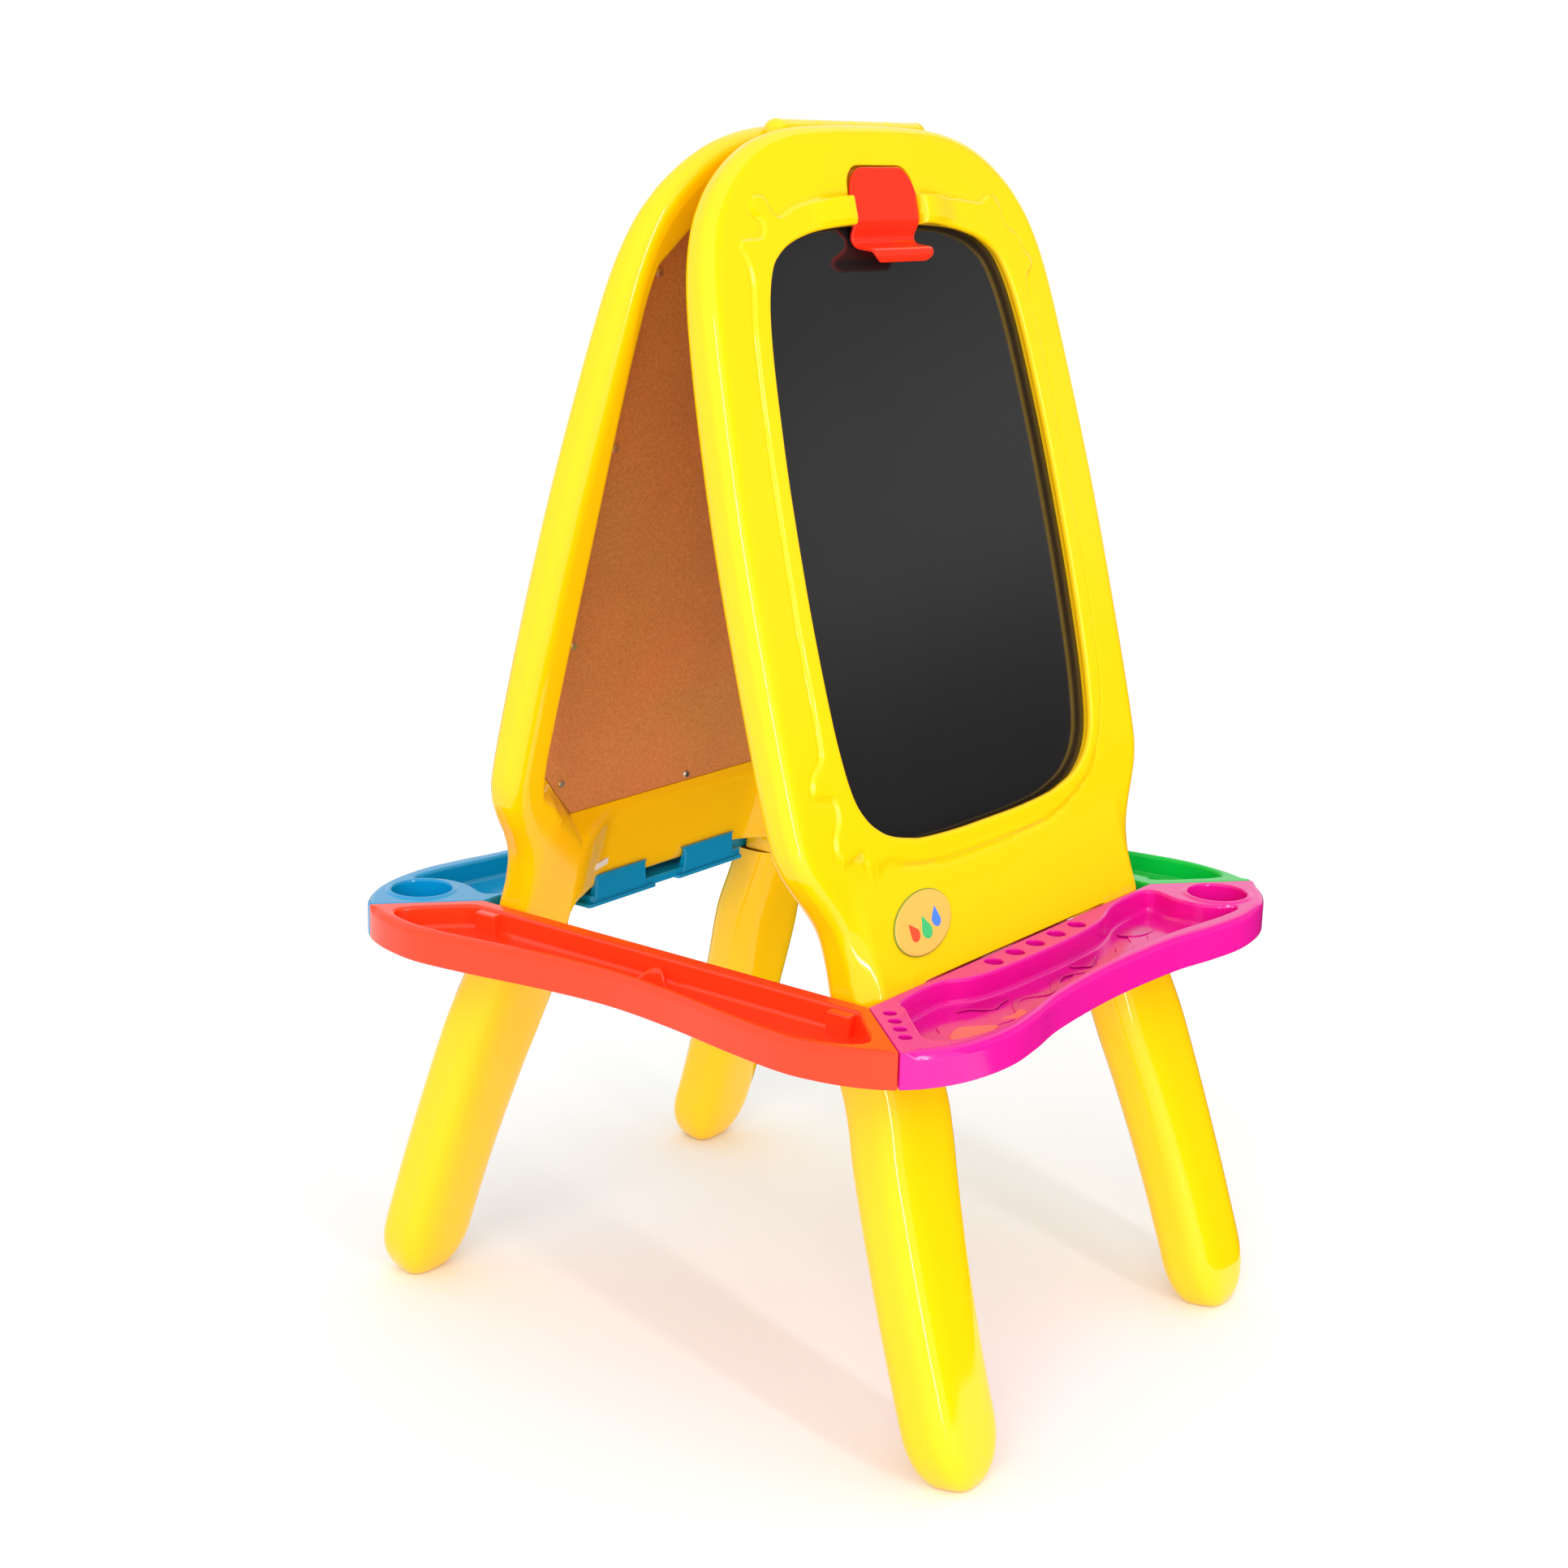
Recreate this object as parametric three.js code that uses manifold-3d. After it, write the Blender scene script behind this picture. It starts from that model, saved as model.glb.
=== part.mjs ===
// A free-standing two-sided children's easel, millimetres, +Z up.
// Two identical moulded frames lean together on a top hinge. Each holds a writing board
// with a hardboard back and a sprung paper clip. Four trays ring the frames and rest on
// the four legs, and lock the easel open. Origin: on the floor, under the centre.
import * as THREE from "three";
import { mergeVertices } from "three/addons/utils/BufferGeometryUtils.js";
import Module from "manifold-3d";

const wasm = await Module();
wasm.setup();

// Driving dimensions.
const LEAN = (14.8 * Math.PI) / 180; // each frame's lean from the vertical
const FACE_Y = -205; // front frame's outer face at the height of the tray tops
const TRAY_TOP = 394;
const TRAY_BOTTOM = 363;
const TRAY_EDGE_Y = -214.5; // the front tray's inner edge
const HINGE_Z = 1074;
const HINGE_R = 11;
const HINGE_HALF = 101;
const PIN_R = 4;
const KNUCKLES = 4;
const SWING = (10.5 * Math.PI) / 180; // half of the angle the easel folds through
const FRAME_DEEP = 40;
const LIP = 10; // the board lies this deep behind the face
const LIP_EDGE = 4; // the lip is thinner than that round the opening
const UNDERCUT = 5;
const FLARE = { top: 95, out: 9.3 }; // the crossbar's face swells out to meet the tray
const SHEET = 1.2; // writing sheet
const BACK = 3; // hardboard
const COLUMN_IN = 152;
const COLUMN_OUT = 224;
const LEG_PROUD = 17; // the legs stand this far in front of the frame's face
const FIT = 0.3; // gap between neighbouring pieces
const CUP = { x: 243, y: -279, r: 27.5, rim: 33, deep: 26 };
const CRAYON = { r: 8.5, xs: [-65, -31, 3, 38, 73], y: -228, deep: 17 };
const PENCIL = { r: 5.75, from: [-229, -235.5], to: [-266, -276], count: 4, deep: 15 };
const RECESS_DEEP = 21;
const TABS = [[-93, -12], [40, 118]]; // behind the crossbar, along x
const BOSSES = [-201, 190]; // middles of the two blocks in a side tray, along y
const CLIP = { v: 645, n: -4.2, pin: 1.8, half: 48.2, lug: 60 }; // paper clip's pivot

// Right halves of the outlines, (x, height up the slope from the tray tops).
const OUTER = [
  [223, 0], [223, 30], [226, 55], [235, 76], [247, 96], [258, 118], [263, 150], [265, 250],
  [264, 350], [259, 430], [250, 530], [243, 590], [231, 630], [215, 656], [198, 673],
  [176, 688], [148, 700.5], [106, 709], [50, 712.5], [0, 713],
];
const OPENING = [
  [0, 109], [50, 109.3], [100, 112], [123, 116], [144, 121.5], [160, 129], [176, 142],
  [188, 162], [195, 195], [199, 241], [201, 320], [199, 410], [195, 470], [190, 520],
  [184, 555], [177, 578], [168, 595], [157, 604.5], [143, 612], [124, 618], [98, 623],
  [60, 626], [0, 627.5],
];
const BOARD = [
  [0, 83], [162, 83], [217, 137], [217, 586], [155, 648], [0, 648],
];
const LEG = [
  [237, -62], [236, -80], [238, -105], [246, -150], [254, -200], [261, -250], [267, -300],
  [270, -345], [263, -384], [246, -405], [220, -412], [194, -404], [177, -384], [170, -345],
  [169, -300], [168, -250], [162, -190], [155, -140], [150, -97],
];
// Plan of the tray ring, one quarter, from the middle of the front to the middle of a side.
const RING = [
  [0, 311], [95, 316], [150, 326], [195, 331], [240, 325.5], [275, 311], [300, 290],
  [316, 262], [325, 228], [327, 195], [320, 140], [308, 70], [302, 0],
];
const SCREWS = [
  [0, 90], [185, 118], [-185, 118], [209, 257], [-209, 257], [209, 438], [-209, 438],
  [200, 590], [-200, 590], [0, 640],
];

const COLOURS = {
  yellow: [0xffdd10, 0.35, 0],
  slate: [0x2c2b2c, 0.6, 0],
  white: [0xf2f3f4, 0.25, 0],
  hardboard: [0xb06a34, 0.8, 0],
  steel: [0xc6c6c4, 0.3, 1],
  red: [0xff4632, 0.4, 0],
  magenta: [0xe0249a, 0.4, 0],
  blue: [0x1490dc, 0.4, 0],
  green: [0x1ebf55, 0.4, 0],
  badge: [0xf6d9a0, 0.4, 0],
};

// ---- solids -------------------------------------------------------------------------
function solid(geometry) {
  const bare = geometry.index ? geometry.toNonIndexed() : geometry.clone();
  bare.deleteAttribute("normal");
  bare.deleteAttribute("uv");
  const merged = mergeVertices(bare, 1e-3);
  return new wasm.Manifold(
    new wasm.Mesh({
      numProp: 3,
      vertProperties: merged.attributes.position.array,
      triVerts: new Uint32Array(merged.index.array),
    }),
  );
}

function toGeometry(body) {
  const { numProp, vertProperties, triVerts } = body.getMesh();
  const points = new Float32Array((vertProperties.length / numProp) * 3);
  for (let i = 0; i < points.length / 3; i++)
    for (let k = 0; k < 3; k++) points[3 * i + k] = vertProperties[numProp * i + k];
  const out = new THREE.BufferGeometry();
  out.setAttribute("position", new THREE.BufferAttribute(points, 3));
  out.setIndex(new THREE.BufferAttribute(new Uint32Array(triVerts), 1));
  out.computeVertexNormals();
  return out;
}

const root = new THREE.Group();

function add(name, colour, body) {
  const [hex, roughness, metalness] = COLOURS[colour];
  const material = new THREE.MeshStandardMaterial({ color: hex, roughness, metalness });
  const mesh = new THREE.Mesh(toGeometry(body), material);
  mesh.name = name;
  root.add(mesh);
}

const vectors = (points) => points.map(([x, y]) => new THREE.Vector2(x, y));

// A closed polygon from a mirrored right half that starts and ends on x = 0.
function mirrored(half) {
  const left = half.slice(1, -1).reverse().map(([x, v]) => [-x, v]);
  return new THREE.Shape(vectors([...half, ...left]));
}

function curve(points, count) {
  return new THREE.SplineCurve(vectors(points)).getPoints(count).map((p) => [p.x, p.y]);
}

function slab(shape, low, high, bevel = 0, segments = 2) {
  const deep = high - low - 2 * bevel;
  const made = new THREE.ExtrudeGeometry(shape, {
    depth: deep,
    bevelEnabled: bevel > 0,
    bevelThickness: bevel,
    bevelSize: bevel,
    bevelOffset: -bevel,
    bevelSegments: segments,
    curveSegments: 12,
  });
  return solid(made.translate(0, 0, low + bevel));
}

// A cutter that is as wide as the shape at low and grows by spread up to high.
function funnel(shape, low, high, spread) {
  const made = new THREE.ExtrudeGeometry(shape, {
    depth: 20,
    bevelThickness: high - low,
    bevelSize: spread,
    bevelSegments: 2,
  });
  return solid(made.translate(0, 0, high));
}

function box(x0, x1, y0, y1, z0, z1) {
  const made = new THREE.BoxGeometry(x1 - x0, y1 - y0, z1 - z0);
  return solid(made.translate((x0 + x1) / 2, (y0 + y1) / 2, (z0 + z1) / 2));
}

function rod(r, length, sides = 24) {
  return solid(new THREE.CylinderGeometry(r, r, length, sides));
}

// A cylinder along X, centred.
const rodX = (r, x0, x1, y, z, sides) =>
  move(turn(rod(r, x1 - x0, sides), "z", Math.PI / 2), (x0 + x1) / 2, y, z);

// A cylinder along Z from z0 to z1.
const rodZ = (r, x, y, z0, z1, sides) =>
  move(turn(rod(r, z1 - z0, sides), "x", Math.PI / 2), x, y, (z0 + z1) / 2);

function placed(body, matrix) {
  return body.transform(matrix.elements);
}

function move(body, x, y, z) {
  return body.translate([x, y, z]);
}

function turn(body, axis, angle) {
  const m = new THREE.Matrix4();
  if (axis === "x") m.makeRotationX(angle);
  if (axis === "y") m.makeRotationY(angle);
  if (axis === "z") m.makeRotationZ(angle);
  return placed(body, m);
}

// Front frame's own axes: x to the right, v up the slope, n out of the face.
const FRONT = new THREE.Matrix4()
  .makeBasis(
    new THREE.Vector3(1, 0, 0),
    new THREE.Vector3(0, Math.sin(LEAN), Math.cos(LEAN)),
    new THREE.Vector3(0, -Math.cos(LEAN), Math.sin(LEAN)),
  )
  .setPosition(0, FACE_Y, TRAY_TOP);

// Turns a side view (height, distance out) swept along Z into a body swept along X.
const ALONG_X = new THREE.Matrix4().makeBasis(
  new THREE.Vector3(0, 1, 0), new THREE.Vector3(0, 0, 1), new THREE.Vector3(1, 0, 0));

const onFront = (body) => placed(body, FRONT);
const toRear = (body) => turn(body, "z", Math.PI);
const mirrorX = (body) => body.mirror([1, 0, 0]);

// Everything on the far side of the plane the two frames close against.
function beyondFold() {
  const blank = box(-400, 400, 0, 500, -1200, 60);
  return move(turn(blank, "x", -SWING), 0, -0.3, HINGE_Z);
}

// ---- frame --------------------------------------------------------------------------
const knuckle = (k) => -HINGE_HALF + (k * 2 * HINGE_HALF) / KNUCKLES;
const KNUCKLE_LONG = (2 * HINGE_HALF) / KNUCKLES;

function frameShape() {
  const side = curve(OUTER, 26);
  const foot = 45;
  const right = [[0, -6], [COLUMN_IN - 12, -6], [COLUMN_IN - 3, -10], [COLUMN_IN, -18],
    [COLUMN_IN, -foot], [COLUMN_OUT, -foot], ...side];
  return mirrored(right);
}

function frame(own, other) {
  let body = slab(frameShape(), -FRAME_DEEP, 0, 10, 2);
  body = body.subtract(slab(mirrored(curve(OPENING, 44)), -FRAME_DEEP - 5, 5));
  body = body.subtract(slab(grown(curve(OPENING, 44), UNDERCUT), -LIP - 1, -LIP_EDGE));
  body = body.subtract(slab(grown(BOARD, 0.5), -17, -LIP));
  body = body.add(flare());
  const pocket = turn(funnel(grown(BOARD, 0.5), 15, FRAME_DEEP, 16), "y", Math.PI);
  body = body.subtract(pocket);
  const panel = new THREE.Shape(vectors([[-134, -90], [134, -90], [134, 100], [-134, 100]]));
  body = body.subtract(turn(funnel(panel, 20, FRAME_DEEP, 14), "y", Math.PI));
  for (const s of [-1, 1]) {
    body = body.add(box(s * 190 - 18, s * 190 + 18, -90, -30, -34, -8));
    body = body.subtract(rodZ(2.08, s * 190, -66, -34.5, -18, 12));
    const mid = (s * (CLIP.half + 0.8 + CLIP.lug)) / 2;
    const wide = (CLIP.lug - CLIP.half - 0.8) / 2;
    body = body.add(box(mid - wide, mid + wide, 632, 655, -2, 9));
  }
  body = body.subtract(clipPocket());
  for (const [x, v] of SCREWS)
    body = body.subtract(rodZ(1.95, x, v, -LIP - 1, -4.5, 6));
  body = onFront(body);
  body = body.subtract(box(-235, 235, -240, TRAY_EDGE_Y + FIT, 370, TRAY_TOP + 1));
  body = body.subtract(box(-260, 260, -260, -120, 330, TRAY_BOTTOM - 0.1)
    .subtract(onFront(columnCores())));
  for (const k of own) {
    const x = knuckle(k);
    body = body.add(box(x + 0.3, x + KNUCKLE_LONG - 0.3, -15, -2, HINGE_Z - 22, HINGE_Z));
  }
  body = body.subtract(beyondFold());
  for (const k of own) {
    const x = knuckle(k);
    body = body.add(rodX(HINGE_R, x + 0.3, x + KNUCKLE_LONG - 0.3, 0, HINGE_Z));
  }
  for (const k of other) {
    const x = knuckle(k);
    body = body.subtract(rodX(HINGE_R + 1, x, x + KNUCKLE_LONG, 0, HINGE_Z));
  }
  const outer = HINGE_HALF + 14;
  body = body.subtract(rodX(HINGE_R + 1, HINGE_HALF, outer, 0, HINGE_Z));
  body = body.subtract(rodX(HINGE_R + 1, -outer, -HINGE_HALF, 0, HINGE_Z));
  return body.subtract(rodX(PIN_R + 0.08, -outer, outer, 0, HINGE_Z, 32));
}

// The swelling at the foot of the face.
function flare() {
  const { top, out } = FLARE;
  const side = new THREE.Shape(vectors([[-6, -2], [top, -2], [top, 0], [0, out], [-6, out]]));
  return placed(slab(side, -212, 212), ALONG_X);
}

// The pocket that the clip's lever rocks in, and the hole for its pin.
function clipPocket() {
  const edge = CLIP.half + 0.8;
  const shallow = box(-edge, edge, 615, 655, -8.5, 12);
  const deep = box(-edge, edge, 652, 683.5, -10.5, 12);
  const pin = rodX(CLIP.pin + 0.08, -CLIP.lug + 2, CLIP.lug - 2, CLIP.v, CLIP.n, 16);
  return shallow.add(deep).add(pin);
}

// The spigots under the columns, kept when the column ends are cut level.
function columnCores() {
  return box(172, 208, -90, -20, -34, -8).add(box(-208, -172, -90, -20, -34, -8));
}

// A mirrored outline made wider by a small amount all round.
function grown(half, by) {
  const mid = 365;
  const scaled = half.map(([x, v]) => [x > 0 ? x + by : 0, v > mid ? v + by : v - by]);
  return mirrored(scaled);
}

function hingePin() {
  return rodX(PIN_R, -HINGE_HALF - 6, HINGE_HALF + 6, 0, HINGE_Z, 32);
}

function pinCap(side) {
  const profile = [[PIN_R + 0.08, 0], [HINGE_R - 1, 0], [HINGE_R - 0.5, 3], [HINGE_R - 2, 7],
    [5.5, 10], [0, 11], [0, 7], [PIN_R + 0.08, 7]];
  const shape = new THREE.LatheGeometry(vectors([...profile, profile[0]]), 24);
  const body = turn(solid(shape), "z", -Math.PI / 2);
  const right = move(body, HINGE_HALF + FIT, 0, HINGE_Z);
  return side > 0 ? right : mirrorX(right);
}

// ---- boards and fixings -------------------------------------------------------------
function sheet() {
  let body = slab(mirrored(BOARD), -LIP - 0.2 - SHEET, -LIP - 0.2);
  for (const [x, v] of SCREWS) body = body.subtract(rodZ(2, x, v, -20, 0, 6));
  return onFront(body);
}

function backing() {
  const top = -LIP - 0.4 - SHEET;
  let body = slab(mirrored(BOARD), top - BACK, top);
  for (const [x, v] of SCREWS) body = body.subtract(rodZ(2, x, v, -20, 0, 6));
  return onFront(body);
}

// A pan-head screw along +Z, the underside of its head at z = 0 and its shank above.
function screw(headR, headHigh, shankR, shankLong) {
  const profile = [[0, -headHigh], [headR * 0.75, -headHigh], [headR, 0], [shankR, 0],
    [shankR, shankLong - 1.2], [0, shankLong]];
  const made = new THREE.LatheGeometry(vectors(profile), 8);
  return turn(solid(made), "x", Math.PI / 2);
}

function backScrew(x, v) {
  const under = -LIP - 0.5 - SHEET - BACK;
  return onFront(move(screw(4, 2.1, 1.6, 9), x, v, under));
}

function legScrew(side) {
  return onFront(move(screw(5, 2.4, 2, 17), side * 190, -66, -FRAME_DEEP + 3.4));
}

function badge() {
  const oval = new THREE.Shape().absellipse(0, 0, 43, 26, 0, 2 * Math.PI);
  const made = new THREE.ExtrudeGeometry(oval, {
    depth: 0.7, bevelThickness: 0.6, bevelSize: 1.5, bevelOffset: -1.5, bevelSegments: 1,
    curveSegments: 20,
  });
  const flat = solid(made.translate(0, 0, 0.65));
  const tilted = turn(turn(flat, "z", (10 * Math.PI) / 180), "x", -Math.atan(FLARE.out / FLARE.top));
  const v = 45;
  return onFront(move(tilted, -132, v, FLARE.out * (1 - v / FLARE.top)));
}

// ---- legs ---------------------------------------------------------------------------
function leg(side) {
  const round = curve(LEG, 26);
  const shape = new THREE.Shape(vectors([[150, -20], [238, -20], ...round].reverse()));
  let body = slab(shape, -FRAME_DEEP, LEG_PROUD, 13, 2);
  body = body.subtract(box(172 - FIT, 208 + FIT, -90.5, 0, -34 - FIT, -8 + FIT));
  body = body.subtract(rodZ(13, 190, -66, -60, -FRAME_DEEP + 3.6, 24));
  body = body.subtract(rodZ(2.3, 190, -66, -60, -20, 12));
  body = onFront(side > 0 ? body : mirrorX(body));
  return body.intersect(box(-400, 400, -400, 0, 0, TRAY_BOTTOM - FIT - 0.1));
}

// ---- trays --------------------------------------------------------------------------
// The whole ring's outline, in order from the middle of the front round to the left.
function ringOutline(inset = 0) {
  const quarter = new THREE.SplineCurve(vectors(RING)).getPoints(18).map((p) => [p.x, p.y]);
  const all = [];
  for (let q = 0; q < 4; q++) {
    const sx = q < 2 ? 1 : -1;
    const sy = q === 0 || q === 3 ? 1 : -1;
    const part = q % 2 ? quarter.slice().reverse() : quarter;
    for (const [x, y] of part.slice(0, -1)) all.push([sx * x, sy * y]);
  }
  return all.reverse().map(([x, y]) => {
    const r = Math.hypot(x, y);
    return [x * (1 - inset / r), y * (1 - inset / r)];
  });
}

function ringShape(inset) {
  return new THREE.Shape(vectors(ringOutline(inset)));
}

// Seams: from the inner corner at a frame's edge to the outer rim.
const SEAM_PLAIN = [[-229, TRAY_EDGE_Y], [-297, -292]];
const SEAM_CUP = [[229, TRAY_EDGE_Y], [306, -283]];
const lineOut = ([a, b], far) => [a[0] + (b[0] - a[0]) * far, a[1] + (b[1] - a[1]) * far];

function frontSector(gap) {
  const a = SEAM_PLAIN[0];
  const b = lineOut(SEAM_PLAIN, 3);
  const c = lineOut(SEAM_CUP, 3);
  const d = SEAM_CUP[0];
  return new THREE.Shape(vectors([
    [a[0] + gap, a[1]], [b[0] + gap * 1.4, b[1]], [c[0] - gap * 1.4, c[1]], [d[0] - gap, d[1]],
  ]));
}

function frontTray() {
  const skirt = slab(ringShape(0), TRAY_BOTTOM - 20, TRAY_TOP, 7, 2);
  let body = skirt.intersect(slab(frontSector(0.5), TRAY_BOTTOM, TRAY_TOP + 5));
  const keep = slab(ringShape(11), TRAY_TOP - RECESS_DEEP, TRAY_TOP + 5);
  let recess = slab(frontRecess(), TRAY_TOP - RECESS_DEEP, TRAY_TOP + 5).intersect(keep);
  recess = recess.subtract(rodZ(CUP.rim + 6, CUP.x, CUP.y, 300, 420, 36));
  body = body.subtract(recess);
  body = body.add(rodZ(CUP.rim, CUP.x, CUP.y, TRAY_TOP - 2, TRAY_TOP + 1.5, 28));
  body = body.subtract(rodZ(CUP.r, CUP.x, CUP.y, TRAY_TOP - CUP.deep, TRAY_TOP + 9, 28));
  for (const x of CRAYON.xs)
    body = body.subtract(rodZ(CRAYON.r, x, CRAYON.y, TRAY_TOP - CRAYON.deep, TRAY_TOP + 9, 12));
  for (let i = 0; i < PENCIL.count; i++) {
    const f = i / (PENCIL.count - 1);
    const x = PENCIL.from[0] + (PENCIL.to[0] - PENCIL.from[0]) * f;
    const y = PENCIL.from[1] + (PENCIL.to[1] - PENCIL.from[1]) * f;
    body = body.subtract(rodZ(PENCIL.r, x, y, TRAY_TOP - PENCIL.deep, TRAY_TOP + 9, 10));
  }
  return body.add(trayTongue());
}

function frontRecess() {
  return new THREE.Shape(vectors([
    [-195, -226], [-160, -225], [-130, -230], [-100, -239], [-60, -243], [80, -242],
    [105, -237], [130, -229], [160, -225], [214, -224], [236, -240], [270, -330],
    [-250, -330], [-257, -286], [-212, -233],
  ].reverse()));
}

// The tongue that passes under the frame's crossbar, and the two upright tabs behind it.
function trayTongue() {
  let body = box(-109, 125, -220, -181, 371, 379);
  const inside = onFront(box(-200, 200, -60, 60, -60, -20.6));
  for (const [x0, x1] of TABS) body = body.add(box(x0, x1, -215, -179, 371, 398).intersect(inside));
  return body;
}

function leftTray() {
  const skirt = slab(ringShape(0), TRAY_BOTTOM - 20, TRAY_TOP, 7, 2);
  const sector = new THREE.Shape(vectors([
    SEAM_PLAIN[0], [-229, 214.5], [-460, 420], lineOut(SEAM_PLAIN, 3),
  ].map(([x, y]) => [x - 0.5, y])));
  let body = skirt.intersect(slab(sector, TRAY_BOTTOM, TRAY_TOP + 5));
  const keep = slab(ringShape(11), TRAY_TOP - RECESS_DEEP, TRAY_TOP + 5);
  const hollow = new THREE.Shape(vectors([
    [-245, 200], [-245, -200], [-318, -283], [-400, -283], [-400, 268], [-312, 268],
  ]));
  let recess = slab(hollow, TRAY_TOP - RECESS_DEEP, TRAY_TOP + 5).intersect(keep);
  for (const y of BOSSES)
    recess = recess.subtract(box(-253, -240, y - 12, y + 12, 360, TRAY_TOP - 2));
  recess = recess.subtract(box(-300, -282, -42, -38, 360, TRAY_TOP - 8));
  return body.subtract(recess);
}

// ---- paper clip ---------------------------------------------------------------------
// The lever's side view, (height, distance out of the face): a flat plate that dips to the
// board and curls out again into a finger lip.
function leverPlate() {
  const mid = [[675, 0.6], [663, 1], [649, 1], [635, 0.9], [628, -0.6], [622, -5],
    [617, -7.4], [612, -6], [608, 2], [603, 9], [598, 10.5], [594, 8.5]];
  const thick = 1.7;
  const path = new THREE.SplineCurve(vectors(mid));
  const near = [];
  const far = [];
  const steps = 24;
  for (let i = 0; i <= steps; i++) {
    const p = path.getPoint(i / steps);
    const t = path.getTangent(i / steps);
    near.push([p.x - t.y * thick, p.y + t.x * thick]);
    far.push([p.x + t.y * thick, p.y - t.x * thick]);
  }
  return new THREE.Shape(vectors([...near, ...far.reverse()]));
}

function lever() {
  let body = placed(slab(leverPlate(), -60, 60), ALONG_X);
  const w = CLIP.half;
  const right = [[w - 5, 586], [w - 4, 607], [w, 613], [w, 651], [w - 2, 661],
    [w - 6, 669], [w - 13, 674], [w - 20, 681]];
  const left = right.map(([x, v]) => [-x, v]).reverse();
  body = body.intersect(slab(new THREE.Shape(vectors([...right, ...left])), -20, 60));
  for (const s of [-1, 1]) {
    body = body.add(rodX(3.2, s * 33 - 13, s * 33 + 13, CLIP.v, CLIP.n, 16));
    body = body.add(box(s * 33 - 13, s * 33 + 13, 642.5, 647.5, -3, 0));
  }
  return onFront(body.subtract(rodX(CLIP.pin + 0.08, -60, 60, CLIP.v, CLIP.n, 16)));
}

function clipPin() {
  const end = CLIP.lug - 2.5;
  return onFront(rodX(CLIP.pin, -end, end, CLIP.v, CLIP.n, 16));
}

class Coil extends THREE.Curve {
  // A torsion spring round the clip's pin, with a straight arm at each end.
  getPoint(u) {
    const arm = 0.12;
    const turns = 5;
    const r = 2.7;
    const { v, n } = CLIP;
    if (u < arm) return new THREE.Vector3(-9, v - 12 * (1 - u / arm), n - r);
    if (u > 1 - arm) return new THREE.Vector3(9, v + 12 * ((u - 1 + arm) / arm), n - r);
    const f = (u - arm) / (1 - 2 * arm);
    const a = -Math.PI / 2 + f * turns * 2 * Math.PI;
    return new THREE.Vector3(-9 + 18 * f, v + r * Math.cos(a), n + r * Math.sin(a));
  }
}

function spring() {
  const wire = new THREE.Shape().absellipse(0, 0, 0.45, 0.45, 0, 2 * Math.PI);
  return onFront(solid(new THREE.ExtrudeGeometry(wire, {
    steps: 56, curveSegments: 2, bevelEnabled: false, extrudePath: new Coil(),
  })));
}

// ---- assembly -----------------------------------------------------------------------
function buildSide(name, place, own, other, sheetName, sheetColour, tray, trayColour) {
  const put = (node, colour, body) => add(node, colour, place(body));
  put(`${name}_frame`, "yellow", frame(own, other));
  put(sheetName, sheetColour, sheet());
  put(`${name}_backing`, "hardboard", backing());
  put(`${name}_badge`, "badge", badge());
  put(`${name}_leg_a`, "yellow", leg(-1));
  put(`${name}_leg_b`, "yellow", leg(1));
  put(`${name}_leg_screw_a`, "steel", legScrew(-1));
  put(`${name}_leg_screw_b`, "steel", legScrew(1));
  put(tray, trayColour, frontTray());
  put(`${name}_clip_lever`, "red", lever());
  put(`${name}_clip_pin`, "steel", clipPin());
  put(`${name}_clip_spring`, "steel", spring());
  SCREWS.forEach(([x, v], i) => {
    put(`${name}_back_screw_${i + 1}`, "steel", backScrew(x, v));
  });
}

const same = (body) => body;
buildSide("front", same, [0, 2], [1, 3], "chalkboard", "slate", "front_tray", "magenta");
buildSide("rear", toRear, [0, 2], [1, 3], "whiteboard", "white", "rear_tray", "blue");
add("left_tray", "red", leftTray());
add("right_tray", "green", toRear(leftTray()));
add("hinge_pin", "steel", hingePin());
add("hinge_cap_left", "yellow", pinCap(-1));
add("hinge_cap_right", "yellow", pinCap(1));

export default root;
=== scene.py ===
import math

import bmesh
import bpy
import numpy as np
from mathutils import Matrix, Vector


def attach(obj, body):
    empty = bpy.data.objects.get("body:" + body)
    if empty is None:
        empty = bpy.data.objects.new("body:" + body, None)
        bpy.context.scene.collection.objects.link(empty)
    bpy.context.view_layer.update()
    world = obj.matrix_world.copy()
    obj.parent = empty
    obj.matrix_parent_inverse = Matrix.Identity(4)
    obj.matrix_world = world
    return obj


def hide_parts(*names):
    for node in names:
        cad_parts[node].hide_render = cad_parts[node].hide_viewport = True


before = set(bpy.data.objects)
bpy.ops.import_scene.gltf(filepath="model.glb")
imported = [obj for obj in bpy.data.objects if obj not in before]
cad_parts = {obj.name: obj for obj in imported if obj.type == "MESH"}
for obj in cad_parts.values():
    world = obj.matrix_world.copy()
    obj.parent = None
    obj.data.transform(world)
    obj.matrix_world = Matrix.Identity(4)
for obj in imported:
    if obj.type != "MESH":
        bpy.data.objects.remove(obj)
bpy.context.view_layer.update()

# ---- sizes, in millimetres, as in the CAD
LEAN = math.radians(14.8)
SA, CA = math.sin(LEAN), math.cos(LEAN)
FACE_Y, TRAY_TOP, TRAY_BOTTOM, HINGE_Z = -205.0, 394.0, 363.0, 1074.0
HINGE_R, HINGE_HALF, KNUCKLES = 11.0, 101.0, 4
SWING = math.tan(math.radians(10.5))
DEEP, LIP, PROUD = 40.0, 10.0, 17.0
COLUMN_IN, COLUMN_OUT = 152.0, 224.0
BOARD_BACK = 15.2
CUP = dict(x=243.0, y=-279.0, r=27.5, rim=33.0, deep=26.0)
CLIP_V, CLIP_N = 645.0, -4.2
FOOT_R = 17.5
UNDERCUT = 5.0
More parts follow.
